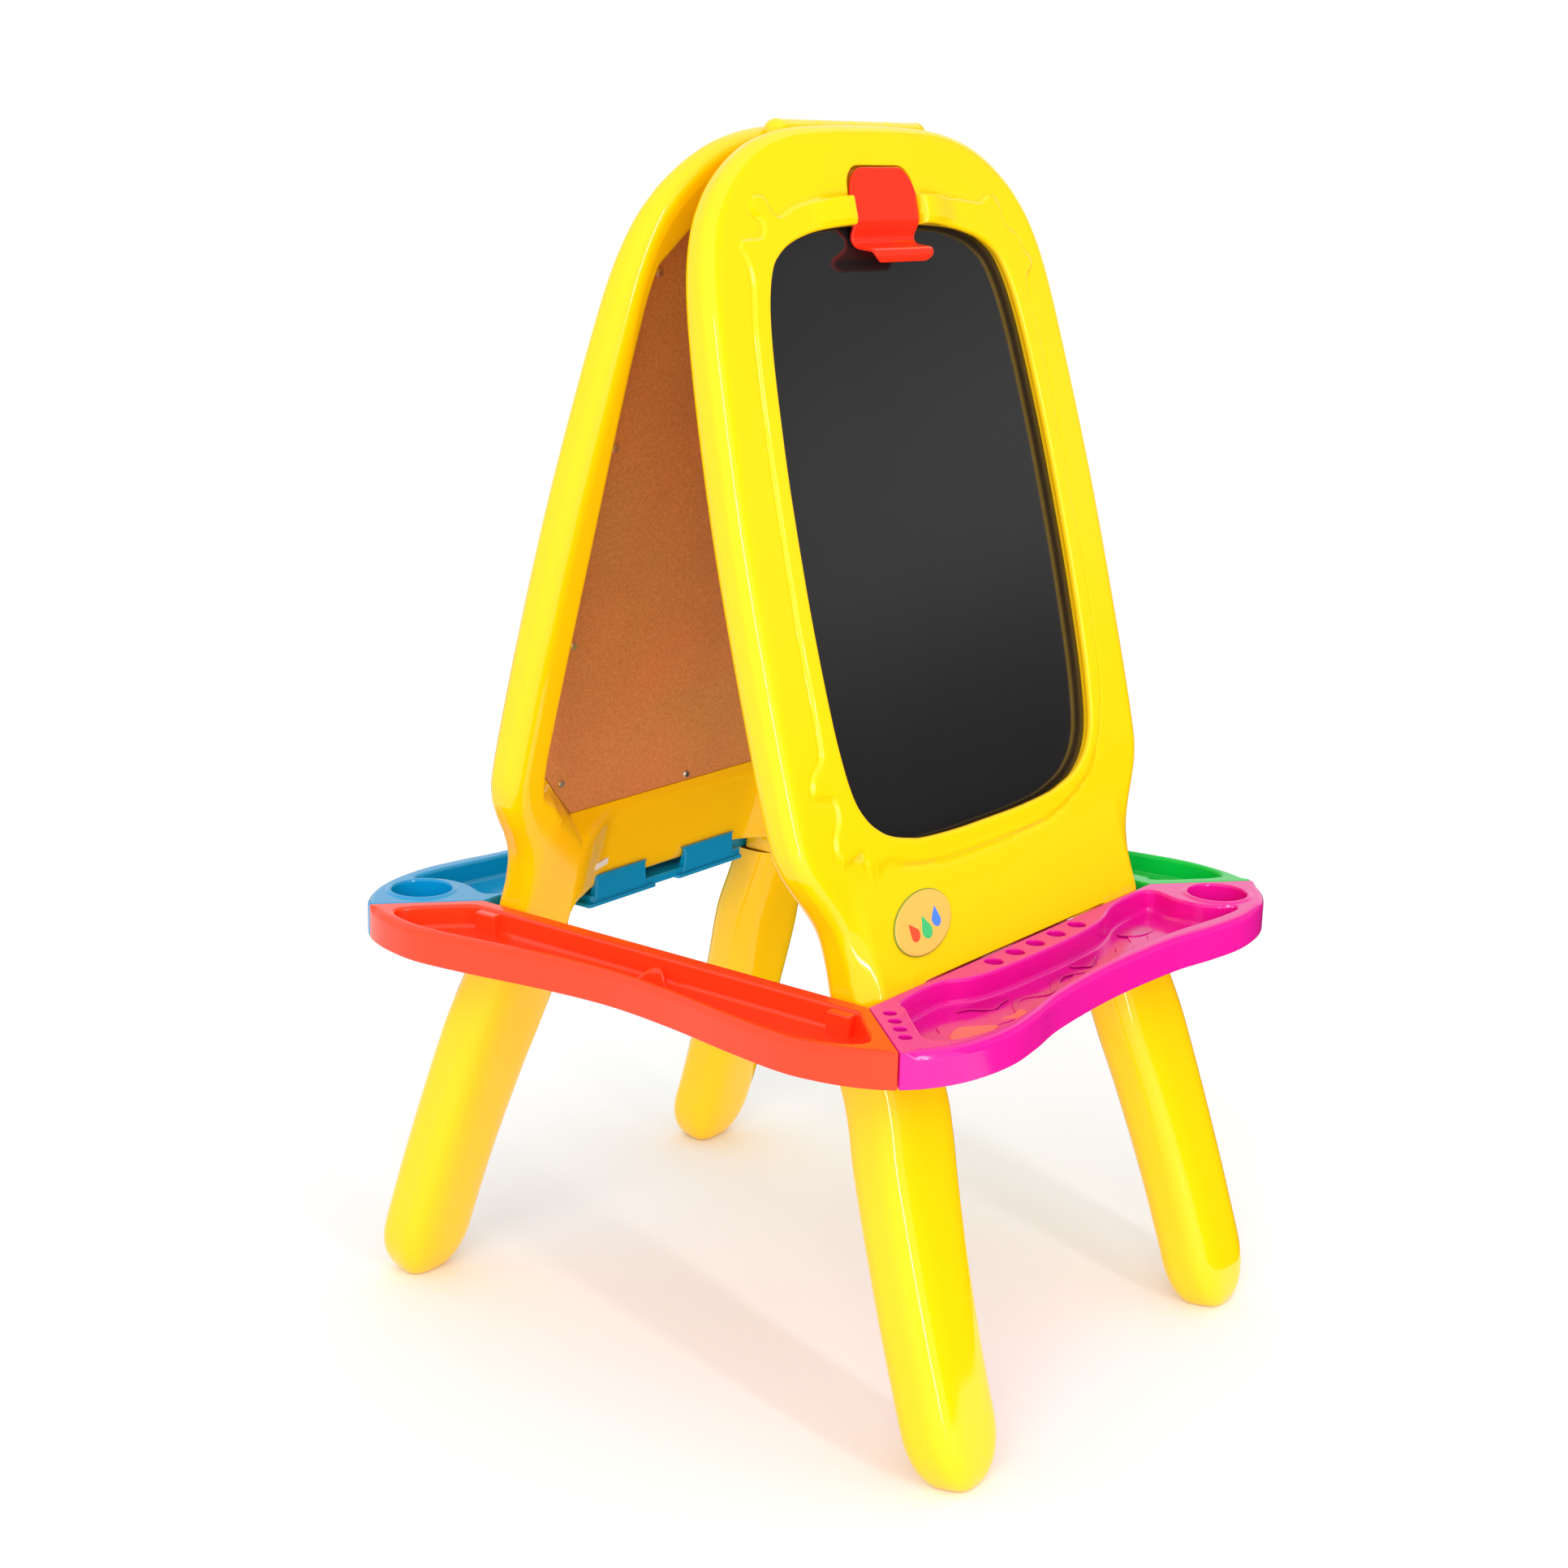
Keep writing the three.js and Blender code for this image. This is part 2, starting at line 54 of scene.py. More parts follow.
TRAY_FLOOR = TRAY_TOP - 21.0
# The foot of the face swells out by FLARE, starting FLARE_TOP up the slope.
FLARE, FLARE_TOP, FLARE_POWER = 9.4, 95.0, 1.1


# ---- curves
def spline(points, per, closed=False):
    """Catmull-Rom curve through the points, sampled densely."""
    p = np.array(points, float)
    if closed:
        p = np.vstack([p[-1], p, p[0], p[1]])
    else:
        p = np.vstack([2 * p[0] - p[1], p, 2 * p[-1] - p[-2]])
    t = np.linspace(0, 1, per, endpoint=False)[:, None]
    out = []
    for i in range(len(p) - 3):
        a, b, c, d = p[i : i + 4]
        out.append(
            0.5 * (2 * b + (c - a) * t + (2 * a - 5 * b + 4 * c - d) * t**2
                   + (3 * b - a - 3 * c + d) * t**3)
        )
    out = np.vstack(out)
    return out if closed else np.vstack([out, p[-2]])


def lengths(poly):
    return np.concatenate([[0], np.cumsum(np.linalg.norm(np.diff(poly, axis=0), axis=1))])


def at(poly, s):
    L = lengths(poly)
    return np.stack([np.interp(s, L, poly[:, k]) for k in range(poly.shape[1])], 1)


def resample(poly, n, closed=True):
    p = np.vstack([poly, poly[:1]]) if closed else poly
    total = lengths(p)[-1]
    s = np.linspace(0, total, n, endpoint=not closed)
    return at(p, s)


def outward(loop):
    """Unit normals of a closed counter-clockwise loop."""
    t = np.roll(loop, -1, 0) - np.roll(loop, 1, 0)
    t /= np.linalg.norm(t, axis=1)[:, None] + 1e-12
    return np.stack([t[:, 1], -t[:, 0]], 1)


def anticlockwise(plan):
    area2 = np.sum(plan[:, 0] * np.roll(plan[:, 1], -1) - plan[:, 1] * np.roll(plan[:, 0], -1))
    return plan if area2 > 0 else plan[::-1]


def inset(loop, d):
    return loop - outward(loop) * np.reshape(d, (-1, 1))


def smooth(t):
    t = np.clip(t, 0, 1)
    return t * t * (3 - 2 * t)


def quarter(steps):
    """(1 - sin, 1 - cos) at even steps through a quarter turn, for a rounded edge."""
    turn = [math.pi / 2 * i / steps for i in range(steps + 1)]
    return [(1 - math.sin(a), 1 - math.cos(a)) for a in turn]


def at_height(plan, z):
    """A plan as a loop of points at one height along the third axis."""
    return np.column_stack([plan, np.broadcast_to(z, len(plan))])


def signed_distance(points, loop):
    """Distance from a closed loop, positive inside."""
    a, b = loop, np.roll(loop, -1, 0)
    ab = b - a
    best = np.full(len(points), 1e9)
    inside = np.zeros(len(points), bool)
    for p, q, d in zip(a, b, ab):
        w = points - p
        h = np.clip((w @ d) / (d @ d + 1e-12), 0, 1)
        best = np.minimum(best, np.hypot(*(w - h[:, None] * d).T))
        if p[1] != q[1]:
            cross = (p[1] > points[:, 1]) != (q[1] > points[:, 1])
            x = p[0] + (points[:, 1] - p[1]) * d[0] / d[1]
            inside ^= cross & (points[:, 0] < x)
    return np.where(inside, best, -best)


# ---- meshes
def front_world(p):
    """Frame axes (x, up the slope, out of the face) in mm to the row frame in mm."""
    p = np.asarray(p, float)
    x, v, n = p[..., 0], p[..., 1], p[..., 2]
    return np.stack([x, FACE_Y + v * SA - n * CA, TRAY_TOP + v * CA + n * SA], -1)


def plain_world(p):
    return np.asarray(p, float)


def turned(place):
    """The same placing on the rear side: half a turn about Z."""
    return lambda p: place(p) * np.array([-1, -1, 1])


def link(name, data):
    obj = bpy.data.objects.new(name, data)
    bpy.context.scene.collection.objects.link(obj)
    return obj


def mesh_object(name, verts, faces):
    mesh = bpy.data.meshes.new(name)
    mesh.from_pydata([tuple(v) for v in verts], [], faces)
    mesh.update()
    obj = link(name, mesh)
    bm = bmesh.new()
    bm.from_mesh(mesh)
    bmesh.ops.remove_doubles(bm, verts=bm.verts, dist=1e-7)
    bmesh.ops.recalc_face_normals(bm, faces=bm.faces)
    bm.to_mesh(mesh)
    bm.free()
    return obj


def rings(name, loops, place, wrap=False):
    """A closed surface through loops in mm, put in place and turned to metres."""
    arr = np.array(loops, float)
    rows, count = arr.shape[:2]
    faces = []
    for r in range(rows if wrap else rows - 1):
        a, b = r * count, (r + 1) % rows * count
        for i in range(count):
            j = (i + 1) % count
            faces.append((a + i, a + j, b + j, b + i))
    if not wrap:
        faces.append(tuple(range(count - 1, -1, -1)))
        faces.append(tuple(range((rows - 1) * count, rows * count)))
    return mesh_object(name, place(arr.reshape(-1, 3)) / 1000, faces)


def slab_loops(outline, low, high, top, bottom, steps):
    """Loops of a flat block with rounded top and bottom edges."""
    under = [at_height(inset(outline, bottom * s), low + bottom * c) for s, c in quarter(steps)]
    over = [at_height(inset(outline, top * c), high - top * s) for s, c in quarter(steps)]
    return under + over


def slot_cutter(outline, floor, top, fillet, place):
    """Cutter for a clip's slot: a filleted floor and straight walls, a little wider on top."""
    loops = [at_height(inset(outline, fillet * s), floor + fillet * c) for s, c in quarter(6)]
    loops += [at_height(outline, top), at_height(inset(outline, -1.2), top + 2)]
    return rings("slot", loops, place)


def join(first, *others):
    bm = bmesh.new()
    bm.from_mesh(first.data)
    for o in others:
        bm.from_mesh(o.data)
        bpy.data.objects.remove(o)
    bm.to_mesh(first.data)
    bm.free()
    return first


def cut(obj, cutter, operation="DIFFERENCE"):
    mod = obj.modifiers.new("cut", "BOOLEAN")
    mod.operation = operation
    mod.solver = "EXACT"
    mod.object = cutter
    done = obj.evaluated_get(bpy.context.evaluated_depsgraph_get())
    made = bpy.data.meshes.new_from_object(done)
    obj.modifiers.clear()
    obj.data = made
    bpy.data.objects.remove(cutter)


def even_shading(obj, angle=40):
    """Flat faces stay flat and rounded edges stay round."""
    mesh = obj.data
    for p in mesh.polygons:
        p.use_smooth = True
    mesh.update()
    bm = bmesh.new()
    bm.from_mesh(mesh)
    for e in bm.edges:
        e.smooth = len(e.link_faces) == 2 and e.calc_face_angle(0) < math.radians(angle)
    bm.to_mesh(mesh)
    bm.free()
    mod = obj.modifiers.new("normals", "WEIGHTED_NORMAL")
    mod.keep_sharp = True
    mod.weight = 80
    return obj


def circle(x, y, r, n):
    a = np.linspace(0, 2 * math.pi, n, endpoint=False)
    return np.column_stack([x + r * np.cos(a), y + r * np.sin(a)])


def rounded_box(x0, x1, y0, y1, r, per=8):
    out = []
    for cx, cy, start in ((x1 - r, y1 - r, 0), (x0 + r, y1 - r, 90), (x0 + r, y0 + r, 180),
                          (x1 - r, y0 + r, 270)):
        a = np.radians(start + np.linspace(0, 90, per))
        out.append(np.column_stack([cx + r * np.cos(a), cy + r * np.sin(a)]))
    return np.vstack(out)


# ---- materials
def node_material(name):
    mat = bpy.data.materials.new(name)
    mat.use_nodes = True
    tree = mat.node_tree
    return mat, tree, tree.nodes["Principled BSDF"]


def set_inputs(node, **inputs):
    for key, value in inputs.items():
        node.inputs[key.replace("_", " ")].default_value = value
    return node


def linked(tree, kind, **inputs):
    return set_inputs(tree.nodes.new(kind), **inputs)


def noise(tree, **inputs):
    """A noise texture in the object's own coordinates."""
    coords = tree.nodes.new("ShaderNodeTexCoord")
    node = linked(tree, "ShaderNodeTexNoise", **inputs)
    tree.links.new(coords.outputs["Object"], node.inputs["Vector"])
    return node


def cloud_colour(tree, shader, source, colour, spread):
    """A base colour that drifts a little darker and lighter with a noise."""
    mix = tree.nodes.new("ShaderNodeMix")
    mix.data_type = "RGBA"
    mix.inputs["A"].default_value = (*[c * (1 - spread) for c in colour], 1)
    mix.inputs["B"].default_value = (*[min(1, c * (1 + spread)) for c in colour], 1)
    tree.links.new(source.outputs["Fac"], mix.inputs["Factor"])
    tree.links.new(mix.outputs["Result"], shader.inputs["Base Color"])


def cloud_rough(tree, shader, source, low, high):
    """A roughness that drifts with a noise."""
    spread = linked(tree, "ShaderNodeMapRange", To_Min=low, To_Max=high)
    tree.links.new(source.outputs["Fac"], spread.inputs["Value"])
    tree.links.new(spread.outputs["Result"], shader.inputs["Roughness"])


def add_bump(tree, shader, source, strength, distance):
    bump = linked(tree, "ShaderNodeBump", Strength=strength, Distance=distance)
    tree.links.new(source.outputs["Fac"], bump.inputs["Height"])
    tree.links.new(bump.outputs["Normal"], shader.inputs["Normal"])


def plastic(name, colour, rough=0.4, coat=0.16, warm=0.03, grain=0.02):
    """Moulded plastic: a faintly cloudy colour under a satin coat with a fine grain."""
    mat, tree, shader = node_material(name)
    cloud = noise(tree, Scale=9.0, Detail=3.0, Roughness=0.5)
    cloud_colour(tree, shader, cloud, colour, warm)
    cloud_rough(tree, shader, cloud, rough - 0.04, rough + 0.05)
    add_bump(tree, shader, noise(tree, Scale=900.0, Detail=2.0), grain, 0.0004)
    set_inputs(shader, Coat_Weight=1.0, Coat_Roughness=coat, Coat_IOR=1.45,
               Specular_IOR_Level=0.0)
    return mat


def board_paint(name, colour, rough, grain, speck, shine):
    """Coated writing sheet: an even coat with a fine orange-peel grain."""
    mat, tree, shader = node_material(name)
    cloud_colour(tree, shader, noise(tree, Scale=14.0, Detail=6.0, Roughness=0.65), colour, speck)
    add_bump(tree, shader, noise(tree, Scale=1400.0, Detail=2.0), grain, 0.0003)
    set_inputs(shader, Roughness=rough, Specular_IOR_Level=shine)
    return mat


def hardboard(name):
    """Pressed brown fibreboard: fine fibre speckle, a matt sheen and a slow mottle."""
    mat, tree, shader = node_material(name)
    fibre = noise(tree, Scale=420.0, Detail=5.0, Roughness=0.7)
    slow = noise(tree, Scale=7.0, Detail=3.0)
    ramp = tree.nodes.new("ShaderNodeValToRGB")
    dark, light = ramp.color_ramp.elements
    dark.position, dark.color = 0.3, (0.58, 0.20, 0.030, 1)
    light.position, light.color = 0.72, (0.92, 0.365, 0.085, 1)
    tree.links.new(fibre.outputs["Fac"], ramp.inputs["Fac"])
    mix = tree.nodes.new("ShaderNodeMix")
    mix.data_type = "RGBA"
    mix.blend_type = "MULTIPLY"
    mix.inputs["Factor"].default_value = 0.35
    tree.links.new(ramp.outputs["Color"], mix.inputs["A"])
    tree.links.new(slow.outputs["Color"], mix.inputs["B"])
    tree.links.new(mix.outputs["Result"], shader.inputs["Base Color"])
    add_bump(tree, shader, fibre, 0.25, 0.0004)
    set_inputs(shader, Roughness=0.55)
    return mat


def steel(name):
    mat, tree, shader = node_material(name)
    cloud_rough(tree, shader, noise(tree, Scale=700.0, Detail=3.0), 0.20, 0.38)
    set_inputs(shader, Base_Color=(0.72, 0.71, 0.69, 1), Metallic=1.0)
    return mat


YELLOW = plastic("moulded_yellow", (1.0, 0.575, 0.001), 0.4, 0.08)
RED = plastic("moulded_red", (1.0, 0.045, 0.008), 0.4, 0.2)
CLIP_RED = plastic("clip_red_plastic", (1.0, 0.025, 0.006), 0.4, 0.14)
MAGENTA = plastic("moulded_magenta", (0.70, 0.004, 0.27))
BLUE = plastic("moulded_blue", (0.001, 0.27, 0.56))
GREEN = plastic("moulded_green", (0.002, 0.5, 0.055))
SLATE = board_paint("chalk_paint", (0.0105, 0.010, 0.0102), 0.1, 0.05, 0.12, 1.0)
WHITE = board_paint("dry_wipe", (0.86, 0.87, 0.88), 0.12, 0.02, 0.01, 0.5)
HARDBOARD = hardboard("pressed_board")
STEEL = steel("zinc_steel")
# Painted reflection: orange-pink colour for patches that stand in for reflections in the front
# tray's floor.
PAINTED_REFLECTION = plastic("painted_reflection_orange", (1.0, 0.10, 0.17), 0.4, 0.2)
# Painted shade: darker magenta for patches where the front tray's glossy floor reflects less.
PAINTED_SHADE = plastic("painted_shade_dark", (0.60, 0.002, 0.22))
BADGE = plastic("badge_face", (0.90, 0.46, 0.09), 0.3, 0.12)


# ---- camera, light and floor
CAMERA_AT = (-1.7858, -1.2966, 1.0754)
CAMERA_YAW_PITCH_ROLL = (52.99, 14.71, 1.52)


def make_camera():
    """The photo's camera: yaw is clockwise from +Y and pitch is downwards, in degrees."""
    yaw, pitch, roll = np.radians(CAMERA_YAW_PITCH_ROLL)
    forward = Vector((math.sin(yaw) * math.cos(pitch), math.cos(yaw) * math.cos(pitch),
                      -math.sin(pitch)))
    right = Vector((math.cos(yaw), -math.sin(yaw), 0))
    up = right.cross(forward)
    axes = Matrix((
        right * math.cos(roll) + up * math.sin(roll),
        up * math.cos(roll) - right * math.sin(roll),
        -forward,
    ))
    data = bpy.data.cameras.new("camera")
    data.lens, data.sensor_width = 57.13, 36.0
    cam = link("camera", data)
    cam.matrix_world = Matrix.Translation(CAMERA_AT) @ axes.transposed().to_4x4()
    bpy.context.scene.camera = cam


def strip_light(where, aim, width, height, power):
    data = bpy.data.lights.new("strip", "AREA")
    data.shape = "RECTANGLE"
    data.size, data.size_y = width, height
    data.energy = power
    obj = link("strip", data)
    obj.location = where
    obj.rotation_mode = "QUATERNION"
    obj.rotation_quaternion = (Vector(aim) - Vector(where)).to_track_quat("-Z", "Y")


def sun(where, strength, spread):
    data = bpy.data.lights.new("soft_sun", "SUN")
    data.energy = strength
    data.angle = math.radians(spread)
    obj = link("soft_sun", data)
    obj.rotation_mode = "QUATERNION"
    obj.rotation_quaternion = Vector(where).to_track_quat("Z", "Y")
    obj.visible_glossy = False


def quad(name, corners, material, only_reflected=False):
    """A four-cornered part of the stage; some are seen only in reflections."""
    mesh = bpy.data.meshes.new(name)
    mesh.from_pydata(corners, [], [(0, 1, 2, 3)])
    mesh.materials.append(material)
    obj = link(name, mesh)
    if only_reflected:
        obj.visible_camera = obj.visible_diffuse = False
        obj.visible_shadow = obj.visible_transmission = False


def glowing(name):
    """A material that only gives off light."""
    mat = bpy.data.materials.new(name)
    mat.use_nodes = True
    tree = mat.node_tree
    tree.nodes.clear()
    out = tree.nodes.new("ShaderNodeOutputMaterial")
    glow = tree.nodes.new("ShaderNodeEmission")
    tree.links.new(glow.outputs["Emission"], out.inputs["Surface"])
    return mat, tree, glow


# Height in metres and brightness of what stands to the right of the camera.
WALL_STOPS = ((-2.9, 0.0), (0.55, 0.03), (0.9, 0.1), (1.3, 0.29), (1.6, 0.29), (2.0, 0.2),
              (4.9, 0.2))
WALL_LOW, WALL_HIGH = -3.0, 5.0


def reflected_wall():
    """What the glossy faces see to the right of the camera: dark low down, grey above."""
    mat, tree, glow = glowing("reflected_wall")
    coords = tree.nodes.new("ShaderNodeTexCoord")
    split = tree.nodes.new("ShaderNodeSeparateXYZ")
    span = linked(tree, "ShaderNodeMapRange", From_Min=WALL_LOW, From_Max=WALL_HIGH)
    ramp = tree.nodes.new("ShaderNodeValToRGB")
    stops = ramp.color_ramp.elements
    for z, grey in WALL_STOPS:
        e = stops.new((z - WALL_LOW) / (WALL_HIGH - WALL_LOW))
        e.color = (grey, grey, grey, 1)
    stops.remove(stops[0])
    stops.remove(stops[-1])
    tree.links.new(coords.outputs["Object"], split.inputs["Vector"])
    tree.links.new(split.outputs["Z"], span.inputs["Value"])
    tree.links.new(span.outputs["Result"], ramp.inputs["Fac"])
    tree.links.new(ramp.outputs["Color"], glow.inputs["Color"])
    near, far = (0.9, -4.6), (6.5, -0.2)
    quad("reflected_wall", [(*near, WALL_LOW), (*far, WALL_LOW), (*far, WALL_HIGH),
                            (*near, WALL_HIGH)], mat, True)


def reflected_floor():
    """A dark card just over the floor beside the easel, seen only in its glossy faces."""
    mat, _, glow = glowing("reflected_floor")
    set_inputs(glow, Color=(0.02, 0.02, 0.02, 1))
    near, far, half, z = 0.36, 8, 5, 0.004
    quad("reflected_floor", [(near, -half, z), (far, -half, z), (far, half, z), (near, half, z)],
         mat, True)


def make_stage():
    world = bpy.data.worlds.new("studio")
    bpy.context.scene.world = world
    world.use_nodes = True
    set_inputs(world.node_tree.nodes["Background"], Color=(1, 1, 1, 1), Strength=1.05)
    bpy.context.scene.view_settings.view_transform = "Standard"
    mat, _, shader = node_material("floor_white")
    set_inputs(shader, Base_Color=(0.9, 0.9, 0.9, 1), Roughness=0.8, Specular_IOR_Level=0.1)
    half = 60
    quad("floor", [(-half, -half, 0), (half, -half, 0), (half, half, 0), (-half, half, 0)], mat)
    # The sun is soft and comes from the left, so the floor stays as bright as the backdrop.
    sun((-0.85, -0.35, 0.45), 1.3, 40)
    strip_light((-1.0, -3.1, 1.25), (0, 0, 0.65), 0.16, 2.4, 34)
    reflected_floor()
    reflected_wall()


make_camera()
make_stage()


def finish_piece(obj, body, slot, mat, *nodes):
    obj.data.materials.clear()
    obj.data.materials.append(mat)
    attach(obj, body)
    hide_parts(*nodes)


SIDES = (("front", "front_side", lambda place: place), ("rear", "rear_side", turned))

# ---- frames
OUTER = [
    (224, 0), (225, 30), (230, 55), (241, 76), (255, 96), (267, 118), (273, 150), (275, 250),
    (274, 350), (270, 430), (261, 530), (252, 590), (238, 630), (220, 656), (201, 673.5),
    (177, 689), (148, 701), (106, 709.5), (50, 712.5), (0, 713),
]
OPENING = [
    (0, 109), (50, 109.3), (100, 112), (123, 116), (144, 121.5), (160, 129), (176, 142),
    (188, 162), (195, 195), (199, 241), (201, 320), (199, 410), (195, 470), (190, 520),
    (184, 555), (177, 578), (168, 595), (157, 604.5), (143, 612), (124, 618), (98, 623),
    (60, 626), (0, 627.5),
]
BOARD = [(0, 83), (162, 83), (217, 137), (217, 586), (155, 648), (0, 648)]
# Where the three outlines match one another: outer edge, opening, board edge.
MATCH = [
    ((0, -6), (0, 109), (0, 83)), ((136, -6), (136, 119), (136, 83)),
    ((152, -20), (160, 129), (158, 83)), ((152, -60), (170, 137), (168, 89)),
    ((170, -80), (174, 140), (176, 97)), ((206, -80), (179, 146), (186, 106)),
    ((224, -40), (183, 152), (192, 112)), ((225, 0), (187, 160), (199, 119)),
    ((241, 76), (191, 175), (210, 130)), ((273, 150), (195, 200), (217, 165)),
    ((275, 250), (199, 245), (217, 250)),
    ((274, 350), (201, 340), (217, 345)), ((270, 430), (198, 430), (217, 425)),
    ((261, 530), (187, 520), (217, 515)), ((252, 590), (176, 574), (217, 565)),
    ((238, 630), (164, 594), (214, 589)), ((220, 656), (150, 605), (200, 603)),
    ((201, 673.5), (135, 610), (186, 617)), ((148, 701), (105, 618), (158, 645)),
    ((106, 709.5), (80, 622), (118, 648)), ((50, 712.5), (42, 626.5), (54, 648)),
    ((0, 713), (0, 627), (0, 648)),
]
# Outline of the raised field round the opening, which looks poured and drips at the corners.
FIELD_LEFT = [
    (-60, 88), (-98, 91), (-127, 95), (-146, 101), (-159, 103), (-168, 100), (-178, 98),
    (-184, 101), (-186, 107), (-191, 114), (-200, 115), (-213, 113), (-221, 118),
    (-222, 132), (-214, 146), (-212, 157), (-217, 167), (-236, 172), (-239, 182),
    (-233, 190), (-221, 200), (-219, 220), (-219, 251), (-220, 300), (-218, 390), (-213, 480),
    (-206, 545), (-200, 571), (-198, 586), (-199, 597), (-204, 606), (-208, 612),
    (-204, 616), (-190, 617), (-177, 618), (-172, 625), (-174, 633), (-181, 639),
    (-187, 643), (-184, 649), (-175, 652), (-165, 650), (-160, 642), (-154, 635),
    (-145, 635), (-133, 640), (-113, 645), (-60, 651),
]
FIELD_RIGHT = [
    (60, 652), (100, 649), (135, 645), (152, 644), (160, 648), (168, 651), (177, 648),
    (182, 638), (184, 627), (191, 620), (201, 616), (207, 608), (209, 601), (214, 597),
    (220, 592), (217, 584), (207, 577), (205, 565), (208, 545), (212, 522), (216, 470),
    (219, 400), (221, 300), (218, 225), (212, 186),
    (197, 150), (172, 120), (120, 98), (60, 89),
]


# Numbers of the knuckles that a frame carries, and of the other frame's.
OWN_KNUCKLES, OTHER_KNUCKLES = (0, 2), (1, 3)
EDGE = 3.2  # width of the rounding at the opening
BOARD_MID, BOARD_GAP = 365, 0.6


def arc(x, v, r, start, end):
    a = np.radians(np.linspace(start, end, 9))
    return np.column_stack([x + r * np.cos(a), v + r * np.sin(a)])


def outer_half():
    """Right half of the frame's outer edge, from under the crossbar round to the top."""
    return np.vstack([
        [(0, -6)], arc(COLUMN_IN - 12, -18, 12, 90, 0),
        arc(COLUMN_IN + FOOT_R, -62, FOOT_R, 180, 270),
        arc(COLUMN_OUT - FOOT_R, -62, FOOT_R, 270, 360), spline(OUTER, 14),
    ])


def matched(curve, which, counts):
    """Samples of a half outline, spaced so that the three outlines correspond."""
    dense = at(curve, np.linspace(0, lengths(curve)[-1], 4000))
    L = lengths(dense)
    marks = [L[np.argmin(np.hypot(*(dense - np.array(m[which])).T))] for m in MATCH]
    marks[0], marks[-1] = 0, L[-1]
    marks = np.maximum.accumulate(marks)
    t = np.arange(sum(counts) + 1)
    s = np.interp(t, np.concatenate([[0], np.cumsum(counts)]), marks)
    ends = np.concatenate([2 * s[0] - s[6:0:-1], s, 2 * s[-1] - s[-2:-8:-1]])
    s = np.convolve(ends, np.ones(13) / 13, "valid")
    s[0], s[-1] = 0, L[-1]
    return at(dense, s)


def full_loop(half):
    left = half[-2:0:-1] * np.array([-1, 1])
    return np.vstack([half, left])


def fold_limit(v):
    """How deep the frame may be at a height, so that the two sides can close."""
    return (204.7 - v * SA - (HINGE_Z - TRAY_TOP - v * CA) * SWING) / (CA + SA * SWING)


def back_depth(x, v):
    """Depth of the frame's inner face behind its outer face."""
    bar, rim = 20, 36.5
    lower = bar + (rim - bar) * smooth((np.abs(x) - 98) / 64)
    depth = np.where(v < 300, lower, rim)
    blend = 3.0
    return -blend * np.log(np.exp(-depth / blend) + np.exp(-fold_limit(v) / blend))


def face_height(p, field):
    """Height of the raised field round the opening, with a lug at each end of the clip."""
    x, v = p[:, 0], p[:, 1]
    d = signed_distance(p, field)
    step = smooth((d + 1.6) / 3.2)
    groove = 0.9 * np.exp(-(((d + 2.2) / 1.5) ** 2))
    ramp = smooth((112 - np.abs(x)) / 52) * (v > 600)
    top = smooth((v - 624) / 7)
    end = np.sqrt(np.clip(1 - np.clip((55 - np.abs(x)) / 6, 0, 1) ** 2, 0, 1))
    lug = ramp * top * 7.4 * np.where(np.abs(x) < 55, end, 1) * (np.abs(x) > 48)
    return step * (1.9 + lug) - groove


def flare(p):
    """How far the foot of the face swells out towards the tray."""
    x, v = np.abs(p[:, 0]), p[:, 1]
    swell = FLARE * (np.clip(FLARE_TOP - v, 0, None) / FLARE_TOP) ** FLARE_POWER
    upright = FLARE + 0.264 * v  # as steep as the upright edge of the tray
    return np.clip(np.minimum(swell, upright), 0, None) * smooth((223 - x) / 22)


def frame_loops():
    """The outer edge, the opening and the board's edge, with points that correspond."""
    spans = [np.hypot(*(np.array(b[0]) - np.array(a[0]))) for a, b in zip(MATCH, MATCH[1:])]
    counts = [max(6, int(round(s / 2.9))) for s in spans]
    curves = (outer_half(), spline(OPENING, 14), np.array(BOARD, float))
    outer, opening, board = (full_loop(matched(c, k, counts)) for k, c in enumerate(curves))
    return outer, opening, board + BOARD_GAP * np.sign(board - np.array([0, BOARD_MID]))


def knuckle_span(k):
    width = 2 * HINGE_HALF / KNUCKLES
    return -HINGE_HALF + k * width, -HINGE_HALF + (k + 1) * width


